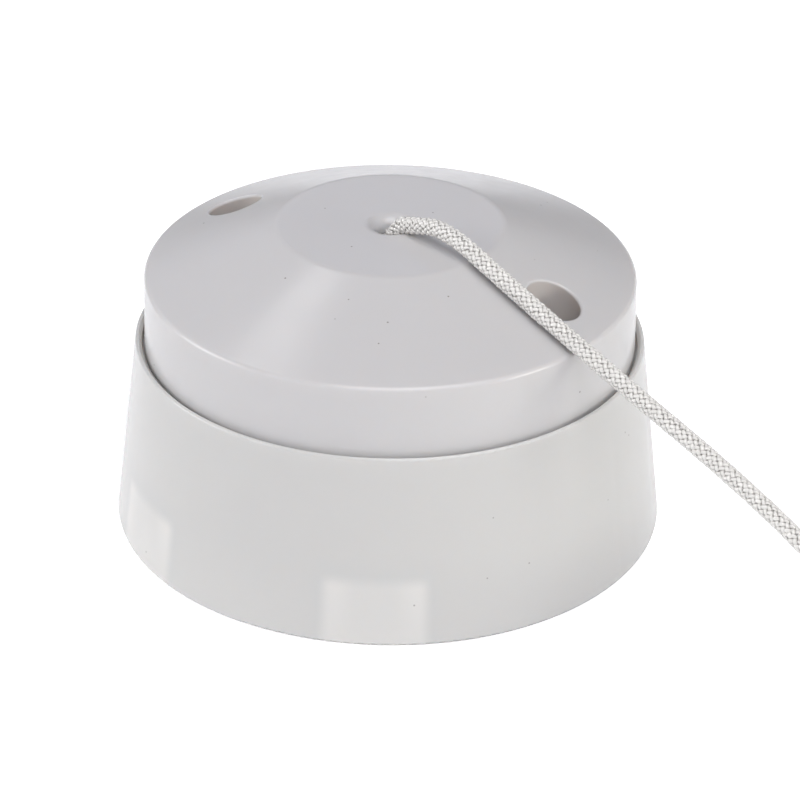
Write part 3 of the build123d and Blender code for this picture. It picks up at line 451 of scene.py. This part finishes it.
from_recess = distance_from(tree, math(tree, "ABSOLUTE", cover_x), cover_y, recess_middle)
past_crown = math(tree, "SUBTRACT", distance_from(tree, cover_x, cover_y, 0.0), crown_radius)
cone_drop = math(tree, "MULTIPLY", past_crown, cone_slope)
depth = math(tree, "SUBTRACT", math(tree, "SUBTRACT", crown_height, cone_drop), cover_z)
# Painted shade: the deep recess walls take a warmer, darker colour than the rest of the cover
near_recess = ramp(tree, from_recess, *recess_reach, 1.0, 0.0)
recess_shade_mask = math(tree, "MULTIPLY", near_recess, ramp(tree, depth, *recess_depth))
skin_shader(
    tree, shader, blend_colour(tree, recess_shade_mask, cover_white, recess_painted_shade),
    cloud=0.04, specks=0.7, roughness=cover_roughness, grain_scale=1500.0, grain_strength=0.08,
)
see_through(shader, weight=0.3)
finish_nodes(cover_plastic, "cover")

# Pull cord: white polyester braid, 2.4 mm across, knotted in the slider and led out through the crown.
# It bends over the hole's flare, lies across the crown and the cone, drops off the rim to the table, and
# the rest is wound into a tied coil with its end in the pull. It has sixteen yarns, one over and one under.
cord_diameter = 2.4 * MM
half = 0.5
# The places on the cord's way and the coil's middle, column radii and lowest level are in millimetres
cord_route = (
    (0, 0, 41.8), (0.68, -0.17, 42.1), (1.21, -0.31, 43.15), (2.23, -0.57, 44.3), (4.17, -1.07, 44.93),
    (6.4, -1.64, 45.7), (8.62, -2.21, 46.25), (10.85, -2.78, 46.2), (13.76, -3.52, 45.7),
    (17.25, -4.41, 44.55), (33.8, -6.75, 37.6), (70.5, -12.6, 24.2), (85.5, -15.0, 12.2),
    (96.5, -16.8, 4.6), (104.5, -18.0, 2.1),
)
end_route = (
    (128.7, 1.9, 11.0), (129.2, 6.0, 8.9), (129.6, 9.9, 5.6), (130.26, 15.9, 1.94), (131.22, 24.7, 3.6),
)
coil_middle = (111.78, -2.30)
coil_first_angle = -96.2
coil_columns = (16.4, 14.0, 11.6)
coil_layers = 4
coil_turns = 12.25
coil_low = 1.7
coil_points_per_turn = 16
corner_cut = 1.0195
column_change = (0.80, 0.98)
layer_change = (0.735, 0.85)
first_side_hint = (0.3, 1, 0.1)
braid_length = 126 * MM
stitch = 1.08 * MM
yarns_each_way = 8


def step_up(value, low, high):
    """A smooth step from 0 to 1."""
    share = min(max((value - low) / (high - low), 0), 1)
    return share * share * (3 - 2 * share)


coil_radii = []
for layer in range(coil_layers):
    coil_radii.extend(coil_columns if layer % 2 == 0 else coil_columns[::-1])
coil_radii.append(coil_radii[-1])
coil_route = []
for point in range(round(coil_turns * coil_points_per_turn) + 1):
    turned = point / coil_points_per_turn
    turn = int(turned)
    layer = turn // len(coil_columns)
    next_turn = min(turn + 1, len(coil_radii) - 1)
    moved = step_up(turned - turn, *column_change)
    radius = coil_radii[turn] + (coil_radii[next_turn] - coil_radii[turn]) * moved
    lifted = step_up(turned - turn, *layer_change) if (turn + 1) % len(coil_columns) == 0 else 0
    angle = radians(coil_first_angle) + turned * tau
    coil_route.append(
        (
            coil_middle[0] + radius * corner_cut * cos(angle),
            coil_middle[1] + radius * corner_cut * sin(angle),
            coil_low + (layer + lifted) * cord_diameter / MM,
        )
    )

route_curve = bpy.data.curves.new("cord_line", "CURVE")
route_curve.dimensions = "3D"
route_curve.resolution_u = 12
route_spline = route_curve.splines.new("NURBS")
route_points = [*cord_route, *coil_route, *end_route]
route_spline.points.add(len(route_points) - 1)
for spline_point, place in zip(route_spline.points, route_points):
    spline_point.co = (place[0] * MM, place[1] * MM, place[2] * MM, 1)
route_spline.order_u = 3
route_spline.use_endpoint_u = True
route_object = bpy.data.objects.new("cord_line", route_curve)
line_mesh = bpy.data.meshes.new_from_object(route_object)
cord_line = np.array([vertex.co for vertex in line_mesh.vertices], float)
bpy.data.objects.remove(route_object)


def line_frames(line):
    """Distance along a line, and at each point two crosswise directions that don't twist."""
    steps = np.linalg.norm(np.diff(line, axis=0), axis=1)
    distance = np.concatenate(([0], np.cumsum(steps)))
    along = np.gradient(line, axis=0)
    along /= np.linalg.norm(along, axis=1)[:, None]
    side = np.empty_like(line)
    side[0] = np.cross(along[0], first_side_hint)
    side[0] /= np.linalg.norm(side[0])
    for index in range(1, len(line)):
        carried = side[index - 1] - along[index] * np.dot(side[index - 1], along[index])
        side[index] = carried / np.linalg.norm(carried)
    return distance, side, np.cross(along, side)


def sweep(name, rings, material, uv, crown=None):
    """A closed tube through rings of points in order, with its own UV map and the rings' own heights."""
    count, sides = rings.shape[:2]
    corners = np.arange(count * sides).reshape(count, sides)
    near = corners[:-1]
    far = corners[1:]
    quads = np.stack((near, np.roll(near, -1, 1), np.roll(far, -1, 1), far), axis=-1).reshape(-1, 4)
    caps = [corners[0][::-1].tolist(), corners[-1].tolist()]
    mesh = bpy.data.meshes.new(name)
    mesh.from_pydata(rings.reshape(-1, 3).tolist(), [], quads.tolist() + caps)
    ring_number = np.repeat(np.arange(count - 1), sides)
    side_number = np.tile(np.arange(sides), count - 1)
    corner_rings = np.stack((ring_number, ring_number, ring_number + 1, ring_number + 1), axis=1)
    corner_sides = np.stack((side_number, side_number + 1, side_number + 1, side_number), axis=1)
    quad_uv = np.stack((uv[0][corner_rings], uv[1][corner_sides]), axis=-1).reshape(-1, 2)
    cap_uv = np.zeros((2 * sides, 2))
    layer = mesh.uv_layers.new(name="braid")
    layer.data.foreach_set("uv", np.concatenate((quad_uv, cap_uv)).astype(np.float32).ravel())
    if crown is not None:
        heights = mesh.attributes.new("crown", "FLOAT", "POINT")
        heights.data.foreach_set("value", np.repeat(crown, sides).astype(np.float32))
    mesh.polygons.foreach_set("use_smooth", np.ones(len(mesh.polygons), bool))
    mesh.materials.append(material)
    piece = bpy.data.objects.new(name, mesh)
    bpy.context.collection.objects.link(piece)
    return piece


# The braid as a pattern, for the cord away from the view: UV counts stitches along and yarns round
yarn_white = (0.96, 0.945, 0.905, 1)
yarn_shade = (0.74, 0.72, 0.68, 1)
yarn_painted_shade = (0.34, 0.325, 0.295, 1)
weave_gap_painted_shade = (0.50, 0.48, 0.44, 1)
crown_across = (0.0, 0.26)
crown_along = (-0.06, 0.2)
fibres_across = 7.0
fibres_along = 0.7
fibre_range = (0.35, 0.65)
fibre_depth = 0.75

braid_weave, weave_in, weave_out = new_group(
    "braid_weave",
    {"Yarn": "colour", "Shade": "colour", "Gap": "colour"},
    {"Colour": "colour", "Height": "value"},
)


def either(tree, choice, first, second):
    """The first value where the choice is 1, and otherwise the second."""
    return put(tree, "ShaderNodeMix", {"data_type": "FLOAT"}, i0=choice, i2=second, i3=first).outputs[0]


weave_place = braid_weave.nodes.new("ShaderNodeTexCoord").outputs["UV"]
weave_u, weave_v = axes_of(braid_weave, weave_place)[:2]
weave_p = math(braid_weave, "ADD", weave_u, weave_v)
weave_q = math(braid_weave, "SUBTRACT", weave_u, weave_v)
part_p = math(braid_weave, "FRACT", weave_p)
part_q = math(braid_weave, "FRACT", weave_q)
floor_p = math(braid_weave, "FLOOR", weave_p)
floor_q = math(braid_weave, "FLOOR", weave_q)
crossing = math(braid_weave, "SUBTRACT", floor_p, floor_q)
odd_or_even = math(braid_weave, "FLOORED_MODULO", crossing, 2.0)
left_on_top = math(braid_weave, "LESS_THAN", odd_or_even, half)
across_part = either(braid_weave, left_on_top, part_p, part_q)
along_part = either(braid_weave, left_on_top, part_q, part_p)
across_rise = ramp(braid_weave, math(braid_weave, "PINGPONG", across_part, half), *crown_across)
along_rise = ramp(braid_weave, math(braid_weave, "PINGPONG", along_part, half), *crown_along)
weave_crown = math(braid_weave, "MULTIPLY", across_rise, along_rise)
fibre_run = put(
    braid_weave, "ShaderNodeCombineXYZ",
    X=math(braid_weave, "MULTIPLY", across_part, fibres_across),
    Y=math(braid_weave, "MULTIPLY", along_part, fibres_along),
    Z=crossing,
).outputs[0]
fibre_noise = ramp(braid_weave, noise(braid_weave, fibre_run, 1.0), *fibre_range)
fibre_tone = math(braid_weave, "MULTIPLY", fibre_noise, fibre_depth)
weave_yarn = blend_colour(braid_weave, fibre_tone, weave_in.outputs["Yarn"], weave_in.outputs["Shade"])
# Painted shade: between the yarn crowns the pattern shows a darker gap colour in place of the shade there
weave_colour = blend_colour(braid_weave, weave_crown, weave_in.outputs["Gap"], weave_yarn)
braid_weave.links.new(weave_colour, weave_out.inputs["Colour"])
braid_weave.links.new(weave_crown, weave_out.inputs["Height"])

woven_cord, tree, shader = new_material("woven_cord")
weave = use_group(tree, braid_weave, Yarn=yarn_white, Shade=yarn_shade, Gap=weave_gap_painted_shade)
tree.links.new(weave.outputs["Colour"], shader.inputs["Base Color"])
weave_bump = put(tree, "ShaderNodeBump", Strength=0.8, Distance=0.18 * MM, Height=weave.outputs["Height"])
tree.links.new(weave_bump.outputs[0], shader.inputs["Normal"])
shader.inputs["Roughness"].default_value = 0.55
shader.inputs["Sheen Weight"].default_value = 0.25

cord_sides = 12
core_radius = 0.87 * MM
woven_radius = 1.17 * MM
core_swell = (braid_length - 6 * MM, braid_length - 2 * MM)
cord_turn = np.arange(cord_sides) * tau / cord_sides


def cord_rings(line, side, over, radii):
    """Rings of points round a line, each with its own radius."""
    spokes = side[:, None] * np.cos(cord_turn)[:, None] + over[:, None] * np.sin(cord_turn)[:, None]
    return line[:, None] + spokes * radii[:, None, None]


def cord_uv(distance):
    """The weave's counts along and round a length of cord."""
    return distance / stitch, np.arange(cord_sides + 1) * yarns_each_way / cord_sides


distance, side, over = line_frames(cord_line)
swell_share = np.array([step_up(place, *core_swell) for place in distance])
cord_radii = core_radius + (woven_radius - core_radius) * swell_share
pull_cord = sweep("pull_cord", cord_rings(cord_line, side, over, cord_radii), woven_cord, cord_uv(distance))
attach(pull_cord, "housing")
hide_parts("cord", "cord_coil", "cord_end_run")

# The braid's yarns along the part that lies free: flat bundles of fine filaments with a bright gloss
yarn_step = 0.15 * MM
yarn_sides = 6
yarn_middle = 0.89 * MM
yarn_wave = 0.17 * MM
yarn_half_width = 0.265 * MM
yarn_half_height = 0.18 * MM
yarn_sway = 0.035
yarn_swell = 0.12
sway_waves = ((1.9, 2.4), (4.3, 5.1))
swell_waves = ((2.7, 3.7), (5.9, 1.3))
fibre_stretch = (0.5, 40.0, 1.0)
stitch_stretch = (1.1, 1.0, 1.0)
stitch_range = (0.3, 0.7)
stitch_depth = 0.5
crown_range = (-0.4, 0.5)

yarn_fibre, tree, shader = new_material("yarn_fibre")
yarn_place = tree.nodes.new("ShaderNodeTexCoord").outputs["UV"]
fibre_lines = noise(tree, stretched(tree, yarn_place, fibre_stretch), 1.0)
stitch_noise = noise(tree, stretched(tree, yarn_place, stitch_stretch), 1.0, detail=1.0)
stitch_tone = math(tree, "MULTIPLY", ramp(tree, stitch_noise, *stitch_range), stitch_depth)
yarn_crown = put(tree, "ShaderNodeAttribute", {"attribute_name": "crown"}).outputs["Fac"]
fibre_colour = blend_colour(tree, ramp(tree, fibre_lines, *fibre_range), yarn_shade, yarn_white)
fibre_colour = blend_colour(tree, stitch_tone, fibre_colour, yarn_shade)
# Painted shade: where a yarn dips under the crossing yarns it takes a darker colour
fibre_colour = blend_colour(tree, ramp(tree, yarn_crown, *crown_range), yarn_painted_shade, fibre_colour)
tree.links.new(fibre_colour, shader.inputs["Base Color"])
fibre_bump = put(tree, "ShaderNodeBump", Strength=0.6, Distance=0.05 * MM, Height=fibre_lines)
tree.links.new(fibre_bump.outputs[0], shader.inputs["Normal"])
shader.inputs["Roughness"].default_value = 0.2
shader.inputs["Specular IOR Level"].default_value = 1.0
shader.inputs["Coat Weight"].default_value = 0.7
shader.inputs["Coat Roughness"].default_value = 0.1

yarn_distance = np.arange(0, braid_length, yarn_step)
yarn_count = yarn_distance / stitch
yarn_turn = np.arange(yarn_sides) * tau / yarn_sides


def along_cord(values):
    """Values of the cord's line at the yarns' steps."""
    return np.stack([np.interp(yarn_distance, distance, values[:, axis]) for axis in range(3)], axis=1)


def unsteady(yarn, waves):
    """A slow swing along a yarn, made of waves that each have a rate and start elsewhere on every yarn."""
    return sum(np.sin(rate * yarn_count + start * yarn) for rate, start in waves)


yarn_line = along_cord(cord_line)
yarn_side = along_cord(side)
yarn_over = along_cord(over)
yarn_pieces = []
for yarn in range(2 * yarns_each_way):
    left = yarn < yarns_each_way
    number = yarn % yarns_each_way
    if left:
        place_round = number + half - yarn_count
        wave = (-1) ** number * np.sin(pi * (yarn_count - place_round))
    else:
        place_round = yarn_count - number - half
        wave = -((-1) ** number) * np.sin(pi * (yarn_count + place_round))
    sway = yarn_sway * unsteady(yarn, sway_waves)
    swell = 1 + yarn_swell * unsteady(yarn, swell_waves)
    round_angle = place_round * tau / yarns_each_way + sway
    outward = yarn_side * np.cos(round_angle)[:, None] + yarn_over * np.sin(round_angle)[:, None]
    centre = yarn_line + outward * (yarn_middle + yarn_wave * wave)[:, None]
    heading = np.gradient(centre, axis=0)
    heading /= np.linalg.norm(heading, axis=1)[:, None]
    crosswise = np.cross(heading, outward)
    crosswise /= np.linalg.norm(crosswise, axis=1)[:, None]
    thick = np.cross(heading, crosswise)
    rings = (
        centre[:, None]
        + crosswise[:, None] * (yarn_half_width * swell[:, None] * np.cos(yarn_turn))[:, :, None]
        + thick[:, None] * (yarn_half_height * swell[:, None] * np.sin(yarn_turn))[:, :, None]
    )
    yarn_uv = (yarn_distance / MM, np.arange(yarn_sides + 1) / yarn_sides + yarn)
    yarn_pieces.append(sweep(f"yarn_{yarn}", rings, yarn_fibre, yarn_uv, wave))
cord_braid = yarn_pieces[0]
with bpy.context.temp_override(
    active_object=cord_braid,
    object=cord_braid,
    selected_objects=yarn_pieces,
    selected_editable_objects=yarn_pieces,
):
    bpy.ops.object.join()
cord_braid.name = "cord_braid"
cord_braid.data.name = "cord_braid"
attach(cord_braid, "housing")

# Cord tail and knots: the cord inside the switch runs from the flared hole down to a knot in the slider,
# which draws the slider up. A second knot sits inside the end pull. Each knot is the cord's own braid
# drawn tight.
tail_radius = 1.15 * MM
tail_steps = 60
knot_points = 42
knot_loop = 1.12 * MM
knot_fold = 0.62 * MM
knot_cord = 0.72 * MM
knot_rounds = 2
knot_folds = 3
knot_height = 1.3
tail_low, tail_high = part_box("cord_tail")
tail_line = np.zeros((tail_steps + 1, 3))
tail_line[:, 2] = np.linspace(tail_low.z, tail_high.z, tail_steps + 1)
tail_distance, tail_side, tail_over = line_frames(tail_line)
tail_rings = cord_rings(tail_line, tail_side, tail_over, np.full(tail_steps + 1, tail_radius))
cord_tail_braid = sweep("cord_tail_braid", tail_rings, woven_cord, cord_uv(tail_distance))
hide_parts("cord_tail")
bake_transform(cord_tail_braid)


def tie_knot(name, node, body):
    """A tight overhand knot in the place of a CAD knot."""
    low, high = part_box(node)
    middle = (low + high) / 2
    turn = np.linspace(0, tau, knot_points, endpoint=False)
    reach = knot_loop + knot_fold * np.cos(knot_folds * turn)
    rise = knot_fold * knot_height * np.sin(knot_folds * turn)
    line = np.stack((reach * np.cos(knot_rounds * turn), reach * np.sin(knot_rounds * turn), rise), axis=1)
    curve = bpy.data.curves.new(name, "CURVE")
    curve.dimensions = "3D"
    curve.bevel_depth = knot_cord
    curve.bevel_resolution = 4
    curve.resolution_u = 4
    spline = curve.splines.new("NURBS")
    spline.points.add(knot_points - 1)
    for spline_point, place in zip(spline.points, line + np.array(middle)):
        spline_point.co = (*place, 1)
    spline.order_u = 3
    spline.use_cyclic_u = True
    loose = bpy.data.objects.new(f"{name}_line", curve)
    knot = bpy.data.objects.new(name, bpy.data.meshes.new_from_object(loose))
    bpy.data.objects.remove(loose)
    knot.data.materials.clear()
    knot.data.materials.append(woven_cord)
    bpy.context.collection.objects.link(knot)
    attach(knot, body)
    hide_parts(node)
    return knot


tie_knot("slider_knot", "cord_knot", "slider")
end_knot = tie_knot("end_knot", "cord_end_knot", "housing")

# Coil tie: a strip of soft white plastic, wrapped once round the coil to keep the turns together.
# It is cut from sheet, follows the roundness of the cord at its corners, and laps over itself at the
# outer side.
tie_white = (0.80, 0.80, 0.78, 1)
tie_start = 150
tie_span = 16.37
tie_steps = 8
tie_reach = (10.0 * MM, 18.0 * MM)
tie_levels = (0.1 * MM, 10.5 * MM)
tie_corner = 1.5 * MM
tie_thickness = 0.36 * MM
tie_edge = 0.09 * MM
tie_sharp_angle = 50
tie_lap = 0.4 * MM
lap_start = 12.6 * MM
lap_end = 4.6 * MM
coil_centre = Vector((coil_middle[0] * MM, coil_middle[1] * MM, 0))
tie_strip, tree, shader = new_material("tie_strip")
skin_shader(
    tree, shader, tie_white,
    cloud=0.08, specks=0.2, roughness=0.38, grain_scale=3000.0, grain_strength=0.4,
)
see_through(shader, weight=0.3)


def wrap_strip(corners, closed):
    """A strip led round the coil's section through its corners, which are rounded, with its edges eased."""
    bm = bmesh.new()
    verts = [bm.verts.new((reach, 0, level)) for reach, level in corners]
    for first, second in zip(verts, verts[1:]):
        bm.edges.new((first, second))
    if closed:
        bm.edges.new((verts[-1], verts[0]))
    rounded = verts if closed else verts[1:-1]
    bmesh.ops.bevel(
        bm, geom=rounded, offset=tie_corner, segments=6, profile=0.5, affect="VERTICES", material=-1
    )
    bmesh.ops.spin(
        bm, geom=[*bm.verts, *bm.edges], cent=(0, 0, 0), axis=(0, 0, 1),
        angle=radians(tie_span), steps=tie_steps, use_merge=False,
    )
    bmesh.ops.recalc_face_normals(bm, faces=bm.faces)
    bmesh.ops.solidify(bm, geom=bm.faces[:], thickness=tie_thickness)
    bends = [edge for edge in bm.edges if edge.is_manifold]
    sharp = [edge for edge in bends if edge.calc_face_angle() > radians(tie_sharp_angle)]
    bmesh.ops.bevel(bm, geom=sharp, offset=tie_edge, segments=2, profile=0.5, affect="EDGES", material=-1)
    bmesh.ops.rotate(bm, verts=bm.verts, cent=(0, 0, 0), matrix=Matrix.Rotation(radians(tie_start), 3, "Z"))
    bmesh.ops.translate(bm, verts=bm.verts, vec=coil_centre)
    return bm


near_reach, far_reach = tie_reach
low_level, high_level = tie_levels
tie_corners = (
    (near_reach, low_level), (far_reach, low_level), (far_reach, high_level), (near_reach, high_level),
)
lap_corners = (
    (lap_start, high_level), (far_reach + tie_lap, high_level + tie_lap), (far_reach + tie_lap, lap_end),
)
coil_band = keep_mesh(wrap_strip(tie_corners, True), "coil_band", tie_strip, "housing")
band_lap = keep_mesh(wrap_strip(lap_corners, False), "band_lap", tie_strip, "housing")
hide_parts("coil_tie")

# End pull: the hollow bell that the hand takes, moulded in white plastic with a polished skin.
# The cord goes in at its neck and is held by the knot in its hollow.
pull_white = (0.66, 0.66, 0.65, 1)
pull_plastic, tree, shader = new_material("pull_plastic")
skin_shader(
    tree, shader, pull_white,
    cloud=0.05, specks=0.4, roughness=0.2, grain_scale=1500.0, grain_strength=0.1,
)
shader.inputs["Coat Weight"].default_value = 0.2
finish_nodes(pull_plastic, "cord_end_pull")

# Table: a wide white sheet, which shows as plain white and keeps the shadow under the switch.
# It shines back most round the switch, where the plastic mirrors it, and runs out into plain white
# further off.
floor_half = 3.0
floor_white = (0.96, 0.96, 0.96, 1)
plain_white = (1, 1, 1, 1)
floor_glow = 0.36
far_glow = 1.0
glow_spot = (0.22, 0.42)
floor_sheet, tree, shader = new_material("floor_sheet")
shader.inputs["Base Color"].default_value = floor_white
shader.inputs["Roughness"].default_value = 0.9
shader.inputs["Specular IOR Level"].default_value = 0.1
shader.inputs["Emission Color"].default_value = plain_white
light_path = tree.nodes.new("ShaderNodeLightPath")
spot_x, spot_y = axes_of(tree, object_place(tree))[:2]
from_switch = distance_from(tree, spot_x, spot_y, 0.0)
seen_glow = ramp(tree, from_switch, *glow_spot, floor_glow, far_glow)
mirrored_glow = ramp(tree, from_switch, *glow_spot, floor_glow, 0.0)
floor_seen = math(tree, "MULTIPLY", light_path.outputs["Is Camera Ray"], seen_glow)
floor_mirrored = math(tree, "MULTIPLY", light_path.outputs["Is Glossy Ray"], mirrored_glow)
tree.links.new(math(tree, "MAXIMUM", floor_seen, floor_mirrored), shader.inputs["Emission Strength"])
bm = bmesh.new()
bmesh.ops.create_grid(bm, x_segments=2, y_segments=2, size=floor_half)
floor_mesh = bpy.data.meshes.new("floor")
bm.to_mesh(floor_mesh)
bm.free()
floor_mesh.materials.append(floor_sheet)
floor = bpy.data.objects.new("floor", floor_mesh)
bpy.context.collection.objects.link(floor)

# Light: a white photo tent, brightest a little above the table, with its back wall darker on the right and
# its foot mirrored as plain white. A softbox stands on the left, a larger one hangs over the front, a low
# one lights the right side, and a small lamp at the back gives the cone its soft highlight.
tent_levels = (
    (0.0, (0.06, 0.06, 0.06, 1)),
    (0.37, (0.49, 0.505, 0.585, 1)),
    (0.77, (0.05, 0.05, 0.06, 1)),
    (1.0, (0.04, 0.04, 0.05, 1)),
)
tent_foot = (-0.03, 0.03)
back_wall = (
    (0.0, (0.66, 0.66, 0.66, 1)),
    (0.35, (0.66, 0.66, 0.66, 1)),
    (0.5, (1, 1, 1, 1)),
    (0.64, (0.2, 0.2, 0.2, 1)),
    (1.0, (0.4, 0.4, 0.4, 1)),
)
back_wall_gain = 1.5
back_wall_start = (0.3, 0.7)
camera_azimuth = 32.5
# Each lamp's azimuth from the camera's side, its elevation, its size in metres, its power and its colour
lamp_table = (
    ("softbox_left", -88, 15, 0.7, 5.2, (1, 1, 0.985)),
    ("softbox_over", 14, 62, 1.0, 9.6, (0.99, 0.98, 1)),
    ("softbox_right", 64, 1, 0.5, 6.3, (1, 0.985, 0.9)),
    ("lamp_back", -148, 58, 0.22, 0.35, (1, 1, 1)),
)
lamp_away = 1.1
lamp_target = Vector((0, 0, 20 * MM))
room = bpy.data.worlds.new("room")
room.use_nodes = True
bpy.context.scene.world = room
room_tree = room.node_tree
room_light = room_tree.nodes["Background"]
room_path = room_tree.nodes.new("ShaderNodeLightPath")
room_place = room_tree.nodes.new("ShaderNodeTexCoord").outputs["Generated"]
room_x, room_y, room_height = axes_of(room_tree, room_place)


def colour_steps(tree, value, steps):
    """A colour that goes through steps as a value goes from 0 to 1."""
    node = put(tree, "ShaderNodeValToRGB", Fac=value)
    elements = node.color_ramp.elements
    while len(elements) < len(steps):
        elements.new(0.5)
    for element, (place, colour) in zip(elements, steps):
        element.position = place
        element.color = colour
    return node.outputs[0]


def room_way(azimuth):
    """How far a look into the room goes in a level direction, as an azimuth from the camera's side."""
    turn = radians(azimuth + camera_azimuth)
    way_x = math(room_tree, "MULTIPLY", room_x, sin(turn))
    way_y = math(room_tree, "MULTIPLY", room_y, -cos(turn))
    return math(room_tree, "ADD", way_x, way_y)


to_right = math(room_tree, "MULTIPLY_ADD", room_way(90), half, half)
to_back = ramp(room_tree, room_way(180), *back_wall_start)
wall_tone = math(room_tree, "MULTIPLY", colour_steps(room_tree, to_right, back_wall), back_wall_gain)
tent_colour = colour_steps(room_tree, room_height, tent_levels)
tent_colour = blend_colour(room_tree, to_back, tent_colour, wall_tone, "MULTIPLY")
at_foot = ramp(room_tree, room_height, *tent_foot, 1.0, 0.0)
mirrored = math(room_tree, "MULTIPLY", room_path.outputs["Is Glossy Ray"], at_foot)
straight_rays = (room_path.outputs["Is Camera Ray"], room_path.outputs["Is Transmission Ray"])
seen = math(room_tree, "MAXIMUM", *straight_rays)
shown_white = math(room_tree, "MAXIMUM", seen, mirrored)
room_colour = blend_colour(room_tree, shown_white, tent_colour, plain_white)
room_tree.links.new(room_colour, room_light.inputs["Color"])
for name, azimuth, elevation, size, power, colour in lamp_table:
    lamp = bpy.data.lights.new(name, "AREA")
    lamp.shape = "DISK"
    lamp.size = size
    lamp.energy = power
    lamp.color = colour
    lamp_object = bpy.data.objects.new(name, lamp)
    turn = radians(azimuth + camera_azimuth)
    lift = radians(elevation)
    back = Vector((sin(turn) * cos(lift), -cos(turn) * cos(lift), sin(lift)))
    lamp_object.location = lamp_target + back * lamp_away
    lamp_object.rotation_mode = "QUATERNION"
    lamp_object.rotation_quaternion = (-back).to_track_quat("-Z", "Y")
    bpy.context.collection.objects.link(lamp_object)

# Camera: a long lens from the front right of the screws' line, nearly thirty degrees above the table.
# It is aimed a little beside the switch's middle and rolled by less than a degree.
camera_elevation = 29.27
camera_away = 515.6 * MM
camera_target = Vector((0, 0, 15.2 * MM))
camera_lens = 166.5
camera_roll = 0.749
aim_right = 0.00294
aim_up = 0.001722
turn = radians(camera_azimuth)
lift = radians(camera_elevation)
forward = Vector((-sin(turn) * cos(lift), cos(turn) * cos(lift), -sin(lift)))
right = Vector((cos(turn), sin(turn), 0))
up = right.cross(forward)
camera_data = bpy.data.cameras.new("camera")
camera_data.lens = camera_lens
camera_data.sensor_width = 36
camera_data.clip_start = 0.01
camera_data.clip_end = 20
camera = bpy.data.objects.new("camera", camera_data)
camera.location = camera_target - forward * camera_away
camera.rotation_mode = "QUATERNION"
sight = forward + right * aim_right + up * aim_up
camera.rotation_quaternion = sight.to_track_quat("-Z", "Y") @ Quaternion((0, 0, 1), radians(camera_roll))
bpy.context.collection.objects.link(camera)
bpy.context.scene.camera = camera
bpy.context.scene.view_settings.view_transform = "Standard"
